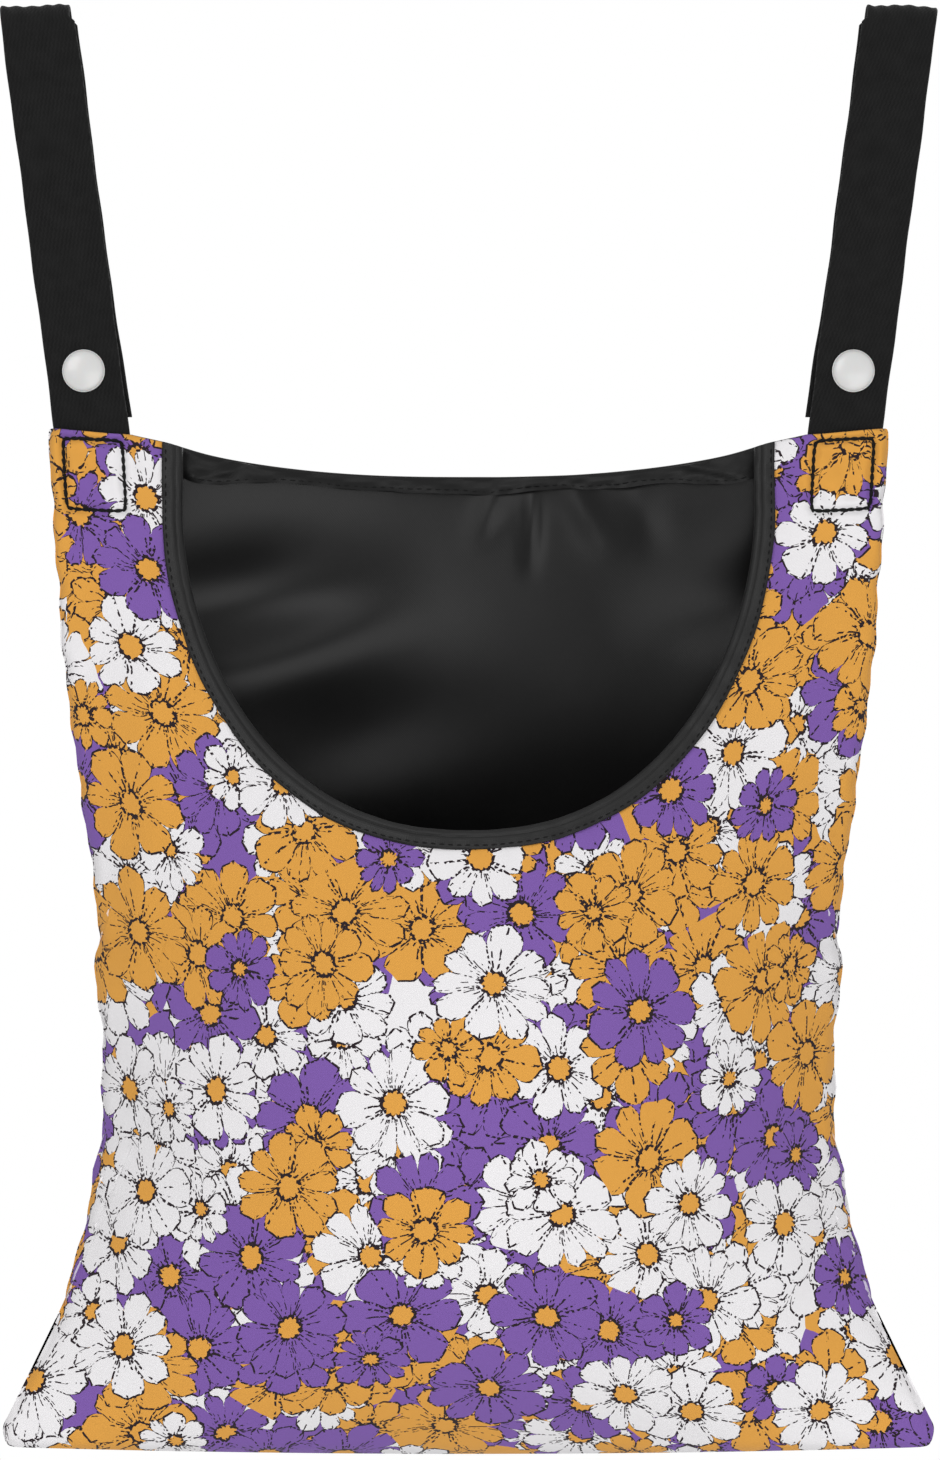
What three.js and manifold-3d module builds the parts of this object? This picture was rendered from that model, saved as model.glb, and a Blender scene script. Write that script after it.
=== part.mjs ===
// Peg bag: a cloth pouch with a scooped front that hangs by two webbing loops closed with press snaps.
// Millimetres, +Z up, +X to the viewer's right, the front faces -Y.
// The origin lies on the hanging line, midway between the loops, at the inner crown of their bights.
import * as THREE from "three";
import { mergeVertices } from "three/addons/utils/BufferGeometryUtils.js";
import Module from "manifold-3d";

const wasm = await Module();
wasm.setup();

// Bag body, as it hangs when filled
const BAG_HEIGHT = 335;
const TOP_WIDTH = 276;
const WAIST_WIDTH = 240;
const WAIST_HEIGHT = 110;
const BOTTOM_WIDTH = 306;
const FRONT_BELLY = 62;
const BACK_BELLY = 45;
const MOUTH_GAPE = 12;
const TOP_SAG = 14.5;
const BOTTOM_SAG = 2.3;
const CLOTH = 1.2;
const SEAM_WIDTH = 8;
const HEM_DEPTH = 6;
const HEM_THICKNESS = 1;

// Scooped opening and the tape that binds its edge
const SCOOP_WIDTH = 187;
const SCOOP_STRAIGHT = 26;
const SCOOP_ROUND = 103.8;
const BINDING_WIDTH = 6.8;
const BINDING_TAPE = 0.8;

// Webbing loops
const WEB_WIDTH = 25;
const WEB_THICKNESS = 1.8;
const STRAP_RISE = 138;
const STRAP_LEAN = 7.5 * THREE.MathUtils.DEG2RAD;
const STRAP_INSET = 1.9;
const TAIL_LENGTH = 25;
const BIGHT_RADIUS = 5;
const FLAP_END_HEIGHT = 5.2;
const FLAP_FLAT_HEIGHT = 34;

// Press snaps
const SNAP_HEIGHT = 20;
const CAP_DIAMETER = 14;
const CAP_HEIGHT = 2.6;
const CAP_RIM = 0.7;
const POST_DIAMETER = 3.4;
const POST_GRIP = 0.7;
const SOCKET_DIAMETER = 10.5;
const SOCKET_BASE = 1;
const SOCKET_DEPTH = 1.6;
const STUD_BASE_DIAMETER = 10;
const STUD_BASE = 1.2;
const STUD_DIAMETER = 5.4;
const STUD_CLEARANCE = 0.5;

// Threads
const THREAD = 0.6;
const BOX_THREAD = 1;
const BOX_STITCH_WIDTH = 19.5;
const BOX_STITCH_HEIGHT = 24.2;
const BOX_STITCH_DROP = 2;
const BOX_STITCH_CORNER = 1.5;
const STITCH_INSET = 1.2;

// Clearances
const FIT_GAP = 0.3;
const BINDING_GAP = 0.4;
const FOLD_GAP = 0.4;
const OPENING_GAP = 0.6;

// Shape of the curves
const FLARE_POWER = 1.5;
const SAG_POWER = 2.6;
const GAPE_POWER = 3;
const BELLY_LOW_POWER = 0.9;
const BELLY_HIGH_POWER = 1.6;
const SCOOP_SIDE_POWER = 0.88;
const SCOOP_FALL_POWER = 1.08;

// Facets
const FRONT_CELLS = 28;
const BACK_CELLS = 20;
const EDGE_STEPS = 24;
const BINDING_ROUND_STEPS = 36;
const BINDING_STRAIGHT_STEPS = 4;
const NOSE_STEPS = 5;
const ROUND_STEPS = 20;
const DOME_STEPS = 6;
const BEND_STEPS = 7;
const CORNER_STEPS = 3;

// Worked out from the sizes above
const LEAN_PER_RISE = Math.tan(STRAP_LEAN);
const WEB_RUN = WEB_WIDTH / Math.cos(STRAP_LEAN);
const HALF_WEB = WEB_THICKNESS / 2;
const BAG_TOP = -STRAP_RISE;
const BAG_BOTTOM = BAG_TOP - BAG_HEIGHT;
const SEAM_Y = -(BIGHT_RADIUS + HALF_WEB);
const SEAM_HALF_GAP = HALF_WEB + FIT_GAP;
const SWING_AXIS_Z = BAG_TOP + HALF_WEB + FOLD_GAP;
const STRAP_FOOT_X = TOP_WIDTH / 2 - STRAP_INSET - WEB_RUN / 2;
const SAG_HALF_SPAN = STRAP_FOOT_X - WEB_RUN / 2;
const BELLY_PEAK = BELLY_LOW_POWER / (BELLY_LOW_POWER + BELLY_HIGH_POWER);
const SCOOP_CENTRE_Z = BAG_TOP - SCOOP_STRAIGHT;
const SNAP_Z = BAG_TOP + SNAP_HEIGHT;
const POST_RADIUS = POST_DIAMETER / 2;
const POST_HOLE_RADIUS = POST_RADIUS + FIT_GAP;
const LEG_FRONT_Y = -(BIGHT_RADIUS + WEB_THICKNESS);
const LEG_REAR_Y = -BIGHT_RADIUS;
const SOCKET_REAR_Y = LEG_REAR_Y + FIT_GAP + SOCKET_BASE + SOCKET_DEPTH;
const FLAP_FRONT_Y = SOCKET_REAR_Y + FIT_GAP + STUD_BASE + FIT_GAP;
const FLAP_REAR_Y = FLAP_FRONT_Y + WEB_THICKNESS;

const { lerp, smoothstep, clamp } = THREE.MathUtils;
const bag = new THREE.Group();

const PRINTED_CLOTH = { color: 0x7b5ca5, roughness: 0.85, metalness: 0 };
const BLACK_CLOTH = { color: 0x232323, roughness: 0.6, metalness: 0 };
const BLACK_TAPE = { color: 0x2c2c2c, roughness: 0.7, metalness: 0 };
const BLACK_WEBBING = { color: 0x1e1e1e, roughness: 0.9, metalness: 0 };
const BLACK_THREAD = { color: 0x161616, roughness: 0.8, metalness: 0 };
const WHITE_RESIN = { color: 0xe6e6e4, roughness: 0.3, metalness: 0 };

// Adds one named piece to the bag.
function addPiece(name, geometry, finish) {
  const mesh = new THREE.Mesh(geometry, new THREE.MeshStandardMaterial(finish));
  mesh.name = name;
  bag.add(mesh);
}

// A closed geometry with its shared vertices merged, holding positions alone.
function merged(geometry) {
  const bare = geometry.clone();
  bare.deleteAttribute("normal");
  bare.deleteAttribute("uv");
  return mergeVertices(bare);
}

// What is left of one closed geometry when others are cut away.
function cutFrom(geometry, ...tools) {
  const solidOf = (source) => {
    const bare = merged(source);
    const vertProperties = bare.attributes.position.array;
    const triVerts = new Uint32Array(bare.index.array);
    return new wasm.Manifold(new wasm.Mesh({ numProp: 3, vertProperties, triVerts }));
  };
  const left = tools.reduce((solid, tool) => solid.subtract(solidOf(tool)), solidOf(geometry));
  const mesh = left.getMesh();
  return indexedGeometry(Array.from(mesh.vertProperties), Array.from(mesh.triVerts));
}

// A geometry from flat lists of coordinates and of triangle corners.
function indexedGeometry(coordinates, corners) {
  const geometry = new THREE.BufferGeometry();
  geometry.setAttribute("position", new THREE.Float32BufferAttribute(coordinates, 3));
  geometry.setIndex(corners);
  return geometry;
}

// Six times the signed volume tells which way the faces point; inward faces are turned round.
function facingOut(points, triangles) {
  let volume = 0;
  for (const [a, b, c] of triangles) {
    volume += points[a].dot(new THREE.Vector3().crossVectors(points[b], points[c]));
  }
  const turned = volume < 0 ? triangles.map(([a, b, c]) => [a, c, b]) : triangles;
  return indexedGeometry(points.flatMap((point) => point.toArray()), turned.flat());
}

// Half the bag's width at a height above its bottom: flared below the waist, widening again above it.
function halfWidth(height) {
  if (height < WAIST_HEIGHT) {
    const flare = (BOTTOM_WIDTH - WAIST_WIDTH) / 2;
    return WAIST_WIDTH / 2 + flare * (1 - height / WAIST_HEIGHT) ** FLARE_POWER;
  }
  const widening = (TOP_WIDTH - WAIST_WIDTH) / 2;
  return WAIST_WIDTH / 2 + widening * smoothstep(height, WAIST_HEIGHT, BAG_HEIGHT);
}

// The top edge is level at the straps and sags between them.
function topEdge(x) {
  const share = Math.min(1, Math.abs(x) / SAG_HALF_SPAN);
  return BAG_TOP - TOP_SAG * (1 - share ** SAG_POWER);
}

// The bottom edge sags a little in the middle.
function bottomEdge(x) {
  const share = x / (BOTTOM_WIDTH / 2);
  return BAG_BOTTOM + BOTTOM_SAG * share ** 2;
}

// 0 on the bottom edge, 1 on the top edge.
function heightShare(x, z) {
  const share = (z - bottomEdge(x)) / (topEdge(x) - bottomEdge(x));
  return clamp(share, 0, 1);
}

// How far a panel stands off the seam plane: nothing at the seams, the whole depth low in the middle.
function belly(x, z, depth) {
  const share = heightShare(x, z);
  const across = x / halfWidth(share * BAG_HEIGHT);
  const low = (share / BELLY_PEAK) ** BELLY_LOW_POWER;
  const high = ((1 - share) / (1 - BELLY_PEAK)) ** BELLY_HIGH_POWER;
  return depth * low * high * Math.max(0, 1 - across ** 2);
}

// The back's top edge bows away from the opening between the straps.
function gape(x, z) {
  const across = Math.min(1, Math.abs(x) / SAG_HALF_SPAN);
  return MOUTH_GAPE * heightShare(x, z) ** GAPE_POWER * (1 - across ** 2) ** 2;
}

const FRONT = -1;
const BACK = 1;

// Y of a panel's inner face.
function innerFace(side, x, z) {
  const bulge = side === FRONT ? belly(x, z, FRONT_BELLY) : belly(x, z, BACK_BELLY) + gape(x, z);
  return SEAM_Y + side * (SEAM_HALF_GAP + bulge);
}

// Unit vector out of the bag, square to a panel.
function outward(side, x, z) {
  const step = CLOTH / 4;
  const slopeX = (innerFace(side, x + step, z) - innerFace(side, x - step, z)) / (2 * step);
  const slopeZ = (innerFace(side, x, z + step) - innerFace(side, x, z - step)) / (2 * step);
  return new THREE.Vector3(-slopeX, 1, -slopeZ).multiplyScalar(side).normalize();
}

// A point at a distance out of a panel's inner face.
function onPanel(side, x, z, out) {
  const foot = new THREE.Vector3(x, innerFace(side, x, z), z);
  return foot.addScaledVector(outward(side, x, z), out);
}

// One cloth panel: a grid between the seams, its inner and outer faces joined round the edge.
function panel(side, cells) {
  const points = [];
  const triangles = [];
  for (const out of [0, CLOTH]) {
    for (let row = 0; row <= cells; row += 1) {
      for (let column = 0; column <= cells; column += 1) {
        const share = row / cells;
        const x = lerp(-1, 1, column / cells) * halfWidth(share * BAG_HEIGHT);
        const z = lerp(bottomEdge(x), topEdge(x), share);
        points.push(onPanel(side, x, z, out));
      }
    }
  }
  const line = cells + 1;
  const id = (layer, row, column) => (layer * line + row) * line + column;
  const addQuad = (a, b, c, d) => triangles.push([a, b, c], [a, c, d]);
  for (let step = 0; step < cells; step += 1) {
    const next = step + 1;
    for (let row = 0; row < cells; row += 1) {
      addQuad(id(1, row, step), id(1, row, next), id(1, row + 1, next), id(1, row + 1, step));
      addQuad(id(0, row, step), id(0, row + 1, step), id(0, row + 1, next), id(0, row, next));
    }
    addQuad(id(1, 0, next), id(1, 0, step), id(0, 0, step), id(0, 0, next));
    addQuad(id(1, cells, step), id(1, cells, next), id(0, cells, next), id(0, cells, step));
    addQuad(id(1, step, 0), id(1, next, 0), id(0, next, 0), id(0, step, 0));
    addQuad(id(1, next, cells), id(1, step, cells), id(0, step, cells), id(0, next, cells));
  }
  return facingOut(points, triangles);
}

// Places along a path of [x, z] points on a panel, each with a direction across the path and one out.
function stationsOn(side, path, out, closed = false) {
  const points = path.map(([x, z]) => onPanel(side, x, z, out));
  const last = points.length - 1;
  return points.map((at, k) => {
    const before = points[k > 0 ? k - 1 : closed ? last : 0];
    const after = points[k < last ? k + 1 : closed ? 0 : last];
    const along = new THREE.Vector3().subVectors(after, before).normalize();
    const normal = outward(side, ...path[k]);
    const across = new THREE.Vector3().crossVectors(along, normal).normalize();
    return { at, across, normal };
  });
}

// A profile of [across, out] points, counter-clockwise, carried along the stations.
function sweep(stations, profile, closed = false) {
  const size = profile.length;
  const count = stations.length;
  const triangles = [];
  const points = stations.flatMap(({ at, across, normal }) =>
    profile.map(([a, n]) => at.clone().addScaledVector(across, a).addScaledVector(normal, n)),
  );
  const runs = closed ? count : count - 1;
  for (let k = 0; k < runs; k += 1) {
    const here = k * size;
    const there = ((k + 1) % count) * size;
    for (let m = 0; m < size; m += 1) {
      const n = (m + 1) % size;
      triangles.push([here + m, here + n, there + n], [here + m, there + n, there + m]);
    }
  }
  if (!closed) {
    const outline = profile.map(([a, n]) => new THREE.Vector2(a, n));
    const end = (count - 1) * size;
    for (const [a, b, c] of THREE.ShapeUtils.triangulateShape(outline, [])) {
      triangles.push([a, c, b], [end + a, end + b, end + c]);
    }
  }
  return facingOut(points, triangles);
}

// A rectangle round a middle point, as a sweep profile.
function bar(width, height, middle = 0, lift = 0) {
  const w = width / 2;
  const h = height / 2;
  const corners = [[-w, -h], [w, -h], [w, h], [-w, h]];
  return corners.map(([a, n]) => [a + middle, n + lift]);
}

// A place on the scoop's round, from its left end to its right end: a half ellipse, full at the bottom and
// slim at the sides.
function scoopRound(share, margin) {
  const side = Math.cos(Math.PI * share);
  const across = Math.sign(side) * Math.abs(side) ** SCOOP_SIDE_POWER;
  const fall = Math.abs(Math.sin(Math.PI * share)) ** SCOOP_FALL_POWER;
  return [-across * (SCOOP_WIDTH / 2 + margin), SCOOP_CENTRE_Z - fall * (SCOOP_ROUND + margin)];
}

// Outline of the scoop, grown outwards by a margin, as an extruded tool that passes through the front.
function scoopTool(margin) {
  const halfWide = SCOOP_WIDTH / 2 + margin;
  const above = BAG_TOP + SEAM_WIDTH;
  const outline = new THREE.Shape();
  outline.moveTo(-halfWide, above);
  outline.lineTo(-halfWide, SCOOP_CENTRE_Z);
  for (let k = 1; k <= BINDING_ROUND_STEPS; k += 1) {
    outline.lineTo(...scoopRound(k / BINDING_ROUND_STEPS, margin));
  }
  outline.lineTo(halfWide, above);
  const depth = 2 * (FRONT_BELLY + SEAM_HALF_GAP + CLOTH);
  const tool = new THREE.ExtrudeGeometry(outline, { depth, bevelEnabled: false });
  return tool.rotateX(Math.PI / 2).translate(0, SEAM_Y, 0);
}

// The scoop's edge from the left shoulder round to the right one.
function scoopPath() {
  const halfWide = SCOOP_WIDTH / 2;
  const path = [];
  for (let k = 0; k < BINDING_STRAIGHT_STEPS; k += 1) {
    path.push([-halfWide, lerp(topEdge(halfWide), SCOOP_CENTRE_Z, k / BINDING_STRAIGHT_STEPS)]);
  }
  for (let k = 0; k <= BINDING_ROUND_STEPS; k += 1) {
    path.push(scoopRound(k / BINDING_ROUND_STEPS, 0));
  }
  const rightSide = path.slice(0, BINDING_STRAIGHT_STEPS).map(([x, z]) => [-x, z]);
  return path.concat(rightSide.reverse());
}

// The binding is a folded tape: a channel, round at the fold, that grips the front panel's cut edge.
const SLOT_HALF = CLOTH / 2 + BINDING_GAP;
const BINDING_HALF = SLOT_HALF + BINDING_TAPE;
const BINDING_FOLD = BINDING_TAPE + BINDING_GAP;
function bindingProfile() {
  const fold = [];
  for (let k = 0; k <= NOSE_STEPS; k += 1) {
    const turn = Math.PI * (0.5 + k / NOSE_STEPS);
    fold.push([BINDING_FOLD * (1 + Math.cos(turn)), BINDING_HALF * Math.sin(turn)]);
  }
  const frontLip = [[BINDING_WIDTH, SLOT_HALF], [BINDING_WIDTH, BINDING_HALF]];
  const rearLip = [[BINDING_WIDTH, -BINDING_HALF], [BINDING_WIDTH, -SLOT_HALF]];
  const slotEnd = [[BINDING_FOLD, -SLOT_HALF], [BINDING_FOLD, SLOT_HALF]];
  return [...frontLip, ...fold, ...rearLip, ...slotEnd];
}

function addFront() {
  const opening = scoopTool(BINDING_FOLD + OPENING_GAP);
  addPiece("front_panel", cutFrom(panel(FRONT, FRONT_CELLS), opening), PRINTED_CLOTH);
  const edge = stationsOn(FRONT, scoopPath(), CLOTH / 2);
  addPiece("scoop_binding", sweep(edge, bindingProfile()), BLACK_TAPE);
  const lift = BINDING_HALF + FIT_GAP + THREAD / 2;
  const thread = bar(THREAD, THREAD, BINDING_WIDTH - STITCH_INSET, lift);
  addPiece("binding_stitch", sweep(edge, thread), BLACK_THREAD);
}

function addBack() {
  addPiece("back_panel", panel(BACK, BACK_CELLS), BLACK_CLOTH);
  const halfLength = SCOOP_WIDTH / 2 - BINDING_FOLD - OPENING_GAP;
  const path = [];
  for (let k = 0; k <= EDGE_STEPS; k += 1) {
    const x = lerp(-halfLength, halfLength, k / EDGE_STEPS);
    path.push([x, topEdge(x) - HEM_DEPTH / 2]);
  }
  const hem = stationsOn(BACK, path, -(FIT_GAP + HEM_THICKNESS / 2));
  addPiece("back_hem", sweep(hem, bar(HEM_DEPTH, HEM_THICKNESS)), BLACK_CLOTH);
  const drop = -(HEM_DEPTH / 2 - STITCH_INSET);
  const lift = -(HEM_THICKNESS / 2 + FIT_GAP + THREAD / 2);
  addPiece("hem_stitch", sweep(hem, bar(THREAD, THREAD, drop, lift)), BLACK_THREAD);
}

// A flat strip between the panels, from its outline in X and Z.
function seamStrip(outline) {
  const shape = new THREE.Shape(outline.map(([x, z]) => new THREE.Vector2(x, z)));
  const strip = new THREE.ExtrudeGeometry(shape, { depth: WEB_THICKNESS, bevelEnabled: false });
  return strip.rotateX(Math.PI / 2).translate(0, SEAM_Y + HALF_WEB, 0);
}

// The seam allowances, sewn together inside the bag's edge: two sides and the bottom.
function addSeams() {
  const lowest = SEAM_WIDTH + FIT_GAP;
  const highest = BAG_HEIGHT - TAIL_LENGTH - FIT_GAP;
  const outer = [];
  for (let k = 0; k <= EDGE_STEPS; k += 1) {
    const share = lerp(lowest, highest, k / EDGE_STEPS) / BAG_HEIGHT;
    const x = halfWidth(share * BAG_HEIGHT);
    outer.push([x, lerp(bottomEdge(x), topEdge(x), share)]);
  }
  const inner = outer.map(([x, z]) => [x - SEAM_WIDTH, z]).reverse();
  const rightSide = outer.concat(inner);
  addPiece("right_side_seam", seamStrip(rightSide), BLACK_CLOTH);
  const leftSide = rightSide.map(([x, z]) => [-x, z]);
  addPiece("left_side_seam", seamStrip(leftSide), BLACK_CLOTH);
  const below = [];
  const above = [];
  for (let k = 0; k <= EDGE_STEPS; k += 1) {
    const across = lerp(-1, 1, k / EDGE_STEPS);
    const low = across * halfWidth(0);
    const high = across * halfWidth(SEAM_WIDTH);
    below.push([low, bottomEdge(low)]);
    above.push([high, bottomEdge(high) + SEAM_WIDTH]);
  }
  addPiece("bottom_seam", seamStrip(below.concat(above.reverse())), BLACK_CLOTH);
}

// A band of webbing: its side view in Y and Z carried across its width, leaning outwards as it rises.
function band(sideView, side) {
  const options = { depth: WEB_RUN, bevelEnabled: false, curveSegments: BEND_STEPS };
  const geometry = new THREE.ExtrudeGeometry(sideView, options);
  const lean = side * LEAN_PER_RISE;
  const foot = side * STRAP_FOOT_X - WEB_RUN / 2 - lean * BAG_TOP;
  const place = new THREE.Matrix4();
  place.set(0, lean, 1, foot, 1, 0, 0, 0, 0, 1, 0, 0, 0, 0, 0, 1);
  return geometry.applyMatrix4(place);
}

// The front leg: round at the foot, where it folds over the bag's edge, up to just before the crown.
function legView() {
  const outerRadius = BIGHT_RADIUS + WEB_THICKNESS;
  const crownGap = Math.asin((HALF_WEB + OPENING_GAP) / (BIGHT_RADIUS + HALF_WEB));
  const top = Math.PI / 2 + crownGap;
  const view = new THREE.Shape();
  view.moveTo(LEG_FRONT_Y, SWING_AXIS_Z);
  view.lineTo(LEG_FRONT_Y, -BIGHT_RADIUS);
  view.absarc(0, -BIGHT_RADIUS, outerRadius, Math.PI, top, true);
  view.absarc(0, -BIGHT_RADIUS, BIGHT_RADIUS, top, Math.PI, false);
  view.lineTo(LEG_REAR_Y, SWING_AXIS_Z);
  view.absarc(SEAM_Y, SWING_AXIS_Z, HALF_WEB, 0, Math.PI, true);
  return view;
}

// The flap: round at the crown, where it opens, over the back of the bight and down to the snap.
function flapView() {
  const outerRadius = BIGHT_RADIUS + WEB_THICKNESS;
  const flatTop = BAG_TOP + FLAP_FLAT_HEIGHT;
  const freeEnd = BAG_TOP + FLAP_END_HEIGHT;
  const view = new THREE.Shape();
  view.moveTo(0, WEB_THICKNESS);
  view.absarc(0, -BIGHT_RADIUS, outerRadius, Math.PI / 2, 0, true);
  view.lineTo(FLAP_REAR_Y, flatTop);
  view.lineTo(FLAP_REAR_Y, freeEnd);
  view.lineTo(FLAP_FRONT_Y, freeEnd);
  view.lineTo(FLAP_FRONT_Y, flatTop);
  view.lineTo(BIGHT_RADIUS, -BIGHT_RADIUS);
  view.absarc(0, -BIGHT_RADIUS, BIGHT_RADIUS, 0, Math.PI / 2, false);
  view.absarc(0, HALF_WEB, HALF_WEB, -Math.PI / 2, Math.PI / 2, true);
  return view;
}

// The tail: the end of the webbing that is sewn in between the panels.
function tailView() {
  const view = new THREE.Shape();
  view.moveTo(SEAM_Y - HALF_WEB, BAG_TOP - TAIL_LENGTH);
  view.lineTo(SEAM_Y + HALF_WEB, BAG_TOP - TAIL_LENGTH);
  view.lineTo(SEAM_Y + HALF_WEB, BAG_TOP);
  view.lineTo(SEAM_Y - HALF_WEB, BAG_TOP);
  return view;
}

// A part turned about Y, from [radius, y] points that run up its outside.
function turned(points, x) {
  const profile = points.map(([radius, y]) => new THREE.Vector2(radius, y));
  return merged(new THREE.LatheGeometry(profile, ROUND_STEPS)).translate(x, 0, SNAP_Z);
}

// A domed cap on a seat, with its post: it points to -Y, and is turned round for the other way.
function capPoints(postLength) {
  const radius = CAP_DIAMETER / 2;
  const points = [];
  for (let k = 0; k <= DOME_STEPS; k += 1) {
    const turn = (Math.PI / 2) * (k / DOME_STEPS);
    points.push([radius * Math.sin(turn), -CAP_RIM - (CAP_HEIGHT - CAP_RIM) * Math.cos(turn)]);
  }
  const post = [[POST_RADIUS, 0], [POST_RADIUS, postLength], [0, postLength]];
  return points.concat([[radius, 0]], post);
}

function addSnap(name, x) {
  const postLength = FIT_GAP + WEB_THICKNESS + FIT_GAP + POST_GRIP;
  const frontSeat = LEG_FRONT_Y - FIT_GAP;
  const frontCap = capPoints(postLength).map(([r, y]) => [r, frontSeat + y]);
  addPiece(`${name}_snap_cap`, turned(frontCap, x), WHITE_RESIN);

  const boreRadius = STUD_DIAMETER / 2 + STUD_CLEARANCE;
  const socketFront = LEG_REAR_Y + FIT_GAP;
  const boreEnd = socketFront + SOCKET_BASE;
  const socket = [
    [POST_HOLE_RADIUS, socketFront],
    [SOCKET_DIAMETER / 2, socketFront],
    [SOCKET_DIAMETER / 2, SOCKET_REAR_Y],
    [boreRadius, SOCKET_REAR_Y],
    [boreRadius, boreEnd],
    [POST_HOLE_RADIUS, boreEnd],
    [POST_HOLE_RADIUS, socketFront],
  ];
  addPiece(`${name}_snap_socket`, turned(socket, x), WHITE_RESIN);

  const baseRear = FLAP_FRONT_Y - FIT_GAP;
  const baseFront = baseRear - STUD_BASE;
  const tip = boreEnd + FIT_GAP;
  const recessEnd = baseRear - POST_GRIP - FIT_GAP;
  const stud = [
    [0, tip],
    [STUD_DIAMETER / 2, tip],
    [STUD_DIAMETER / 2, baseFront],
    [STUD_BASE_DIAMETER / 2, baseFront],
    [STUD_BASE_DIAMETER / 2, baseRear],
    [POST_HOLE_RADIUS, baseRear],
    [POST_HOLE_RADIUS, recessEnd],
    [0, recessEnd],
  ];
  addPiece(`${name}_snap_stud`, turned(stud, x), WHITE_RESIN);

  const rearSeat = FLAP_REAR_Y + FIT_GAP;
  const rearCap = capPoints(postLength).map(([r, y]) => [r, rearSeat - y]);
  addPiece(`${name}_snap_back`, turned(rearCap.reverse(), x), WHITE_RESIN);
}

// The rectangle of stitches that holds a strap's tail, as a closed path with round corners.
function boxStitchPath(x) {
  const round = BOX_STITCH_CORNER;
  const reachX = BOX_STITCH_WIDTH / 2 - round;
  const reachZ = BOX_STITCH_HEIGHT / 2 - round;
  const z = BAG_TOP - BOX_STITCH_DROP - BOX_STITCH_HEIGHT / 2;
  const path = [];
  const corners = [[1, 1], [-1, 1], [-1, -1], [1, -1]];
  corners.forEach(([signX, signZ], quarter) => {
    for (let k = 0; k <= CORNER_STEPS; k += 1) {
      const turn = (Math.PI / 2) * (quarter + k / CORNER_STEPS);
      path.push([
        x + signX * reachX + round * Math.cos(turn),
        z + signZ * reachZ + round * Math.sin(turn),
      ]);
    }
  });
  return path;
}

function addStrap(name, side) {
  const snapX = side * (STRAP_FOOT_X + LEAN_PER_RISE * SNAP_HEIGHT);
  const holeLength = 2 * (FLAP_REAR_Y - LEG_FRONT_Y);
  const hole = new THREE.CylinderGeometry(POST_HOLE_RADIUS, POST_HOLE_RADIUS, holeLength, ROUND_STEPS);
  hole.translate(snapX, 0, SNAP_Z);
  addPiece(`${name}_strap_leg`, cutFrom(band(legView(), side), hole), BLACK_WEBBING);
  addPiece(`${name}_strap_flap`, cutFrom(band(flapView(), side), hole), BLACK_WEBBING);
  addPiece(`${name}_strap_tail`, band(tailView(), side), BLACK_WEBBING);
  addSnap(name, snapX);

  const boxMiddle = BOX_STITCH_DROP + BOX_STITCH_HEIGHT / 2;
  const boxX = side * (STRAP_FOOT_X - LEAN_PER_RISE * boxMiddle);
  const lift = CLOTH + FIT_GAP + BOX_THREAD / 2;
  const ring = stationsOn(FRONT, boxStitchPath(boxX), lift, true);
  addPiece(`${name}_box_stitch`, sweep(ring, bar(BOX_THREAD, BOX_THREAD), true), BLACK_THREAD);
}

addFront();
addBack();
addSeams();
addStrap("left", -1);
addStrap("right", 1);

export default bag;
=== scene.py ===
# %% [markdown]
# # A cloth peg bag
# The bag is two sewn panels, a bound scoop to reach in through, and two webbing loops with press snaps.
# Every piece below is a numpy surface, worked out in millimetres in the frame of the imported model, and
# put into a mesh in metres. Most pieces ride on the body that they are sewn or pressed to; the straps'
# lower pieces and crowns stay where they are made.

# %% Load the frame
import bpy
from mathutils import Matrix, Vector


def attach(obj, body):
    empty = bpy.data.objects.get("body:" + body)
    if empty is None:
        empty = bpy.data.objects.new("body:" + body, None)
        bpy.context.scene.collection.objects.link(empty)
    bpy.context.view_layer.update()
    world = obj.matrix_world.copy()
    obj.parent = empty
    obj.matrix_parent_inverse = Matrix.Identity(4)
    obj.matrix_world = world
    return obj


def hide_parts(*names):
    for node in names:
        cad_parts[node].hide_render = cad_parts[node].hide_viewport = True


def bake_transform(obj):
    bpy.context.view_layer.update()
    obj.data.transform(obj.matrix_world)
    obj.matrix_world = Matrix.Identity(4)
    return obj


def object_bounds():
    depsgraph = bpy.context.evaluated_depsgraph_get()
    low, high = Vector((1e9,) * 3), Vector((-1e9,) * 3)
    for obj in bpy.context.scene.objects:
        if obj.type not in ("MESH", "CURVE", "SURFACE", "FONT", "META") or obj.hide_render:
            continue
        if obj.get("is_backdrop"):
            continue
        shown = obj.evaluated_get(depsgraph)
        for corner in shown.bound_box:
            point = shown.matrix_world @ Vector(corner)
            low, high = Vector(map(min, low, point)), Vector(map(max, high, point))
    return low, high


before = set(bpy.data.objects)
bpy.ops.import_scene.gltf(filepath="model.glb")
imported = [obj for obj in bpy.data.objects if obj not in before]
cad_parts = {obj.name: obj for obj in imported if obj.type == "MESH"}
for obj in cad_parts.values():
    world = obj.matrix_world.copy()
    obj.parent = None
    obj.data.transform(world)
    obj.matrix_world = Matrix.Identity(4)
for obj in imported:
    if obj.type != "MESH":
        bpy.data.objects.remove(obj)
cad_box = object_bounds()

# %% [markdown]
# ## Surfaces from whole arrays
# A sheet of cloth, a tape and a strap are all the same thing to a modeller: a grid of points with two
# sides. One function numbers the faces of such a sheet, another turns a profile into a round part, and
# a third puts either into Blender. Faces could be found by hand in Edit Mode, but a formula gives every
# row at once and keeps the mesh closed.

# %% Helpers for meshes
from functools import partial
import bmesh
import bpy
import numpy as np

MM = 0.001
SHARP_ANGLE = np.radians(48)
WELD, SLIVER = 1e-7, 1e-8   # m
TINY = 1e-12
SIDES = {"left": -1, "right": 1}


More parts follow.
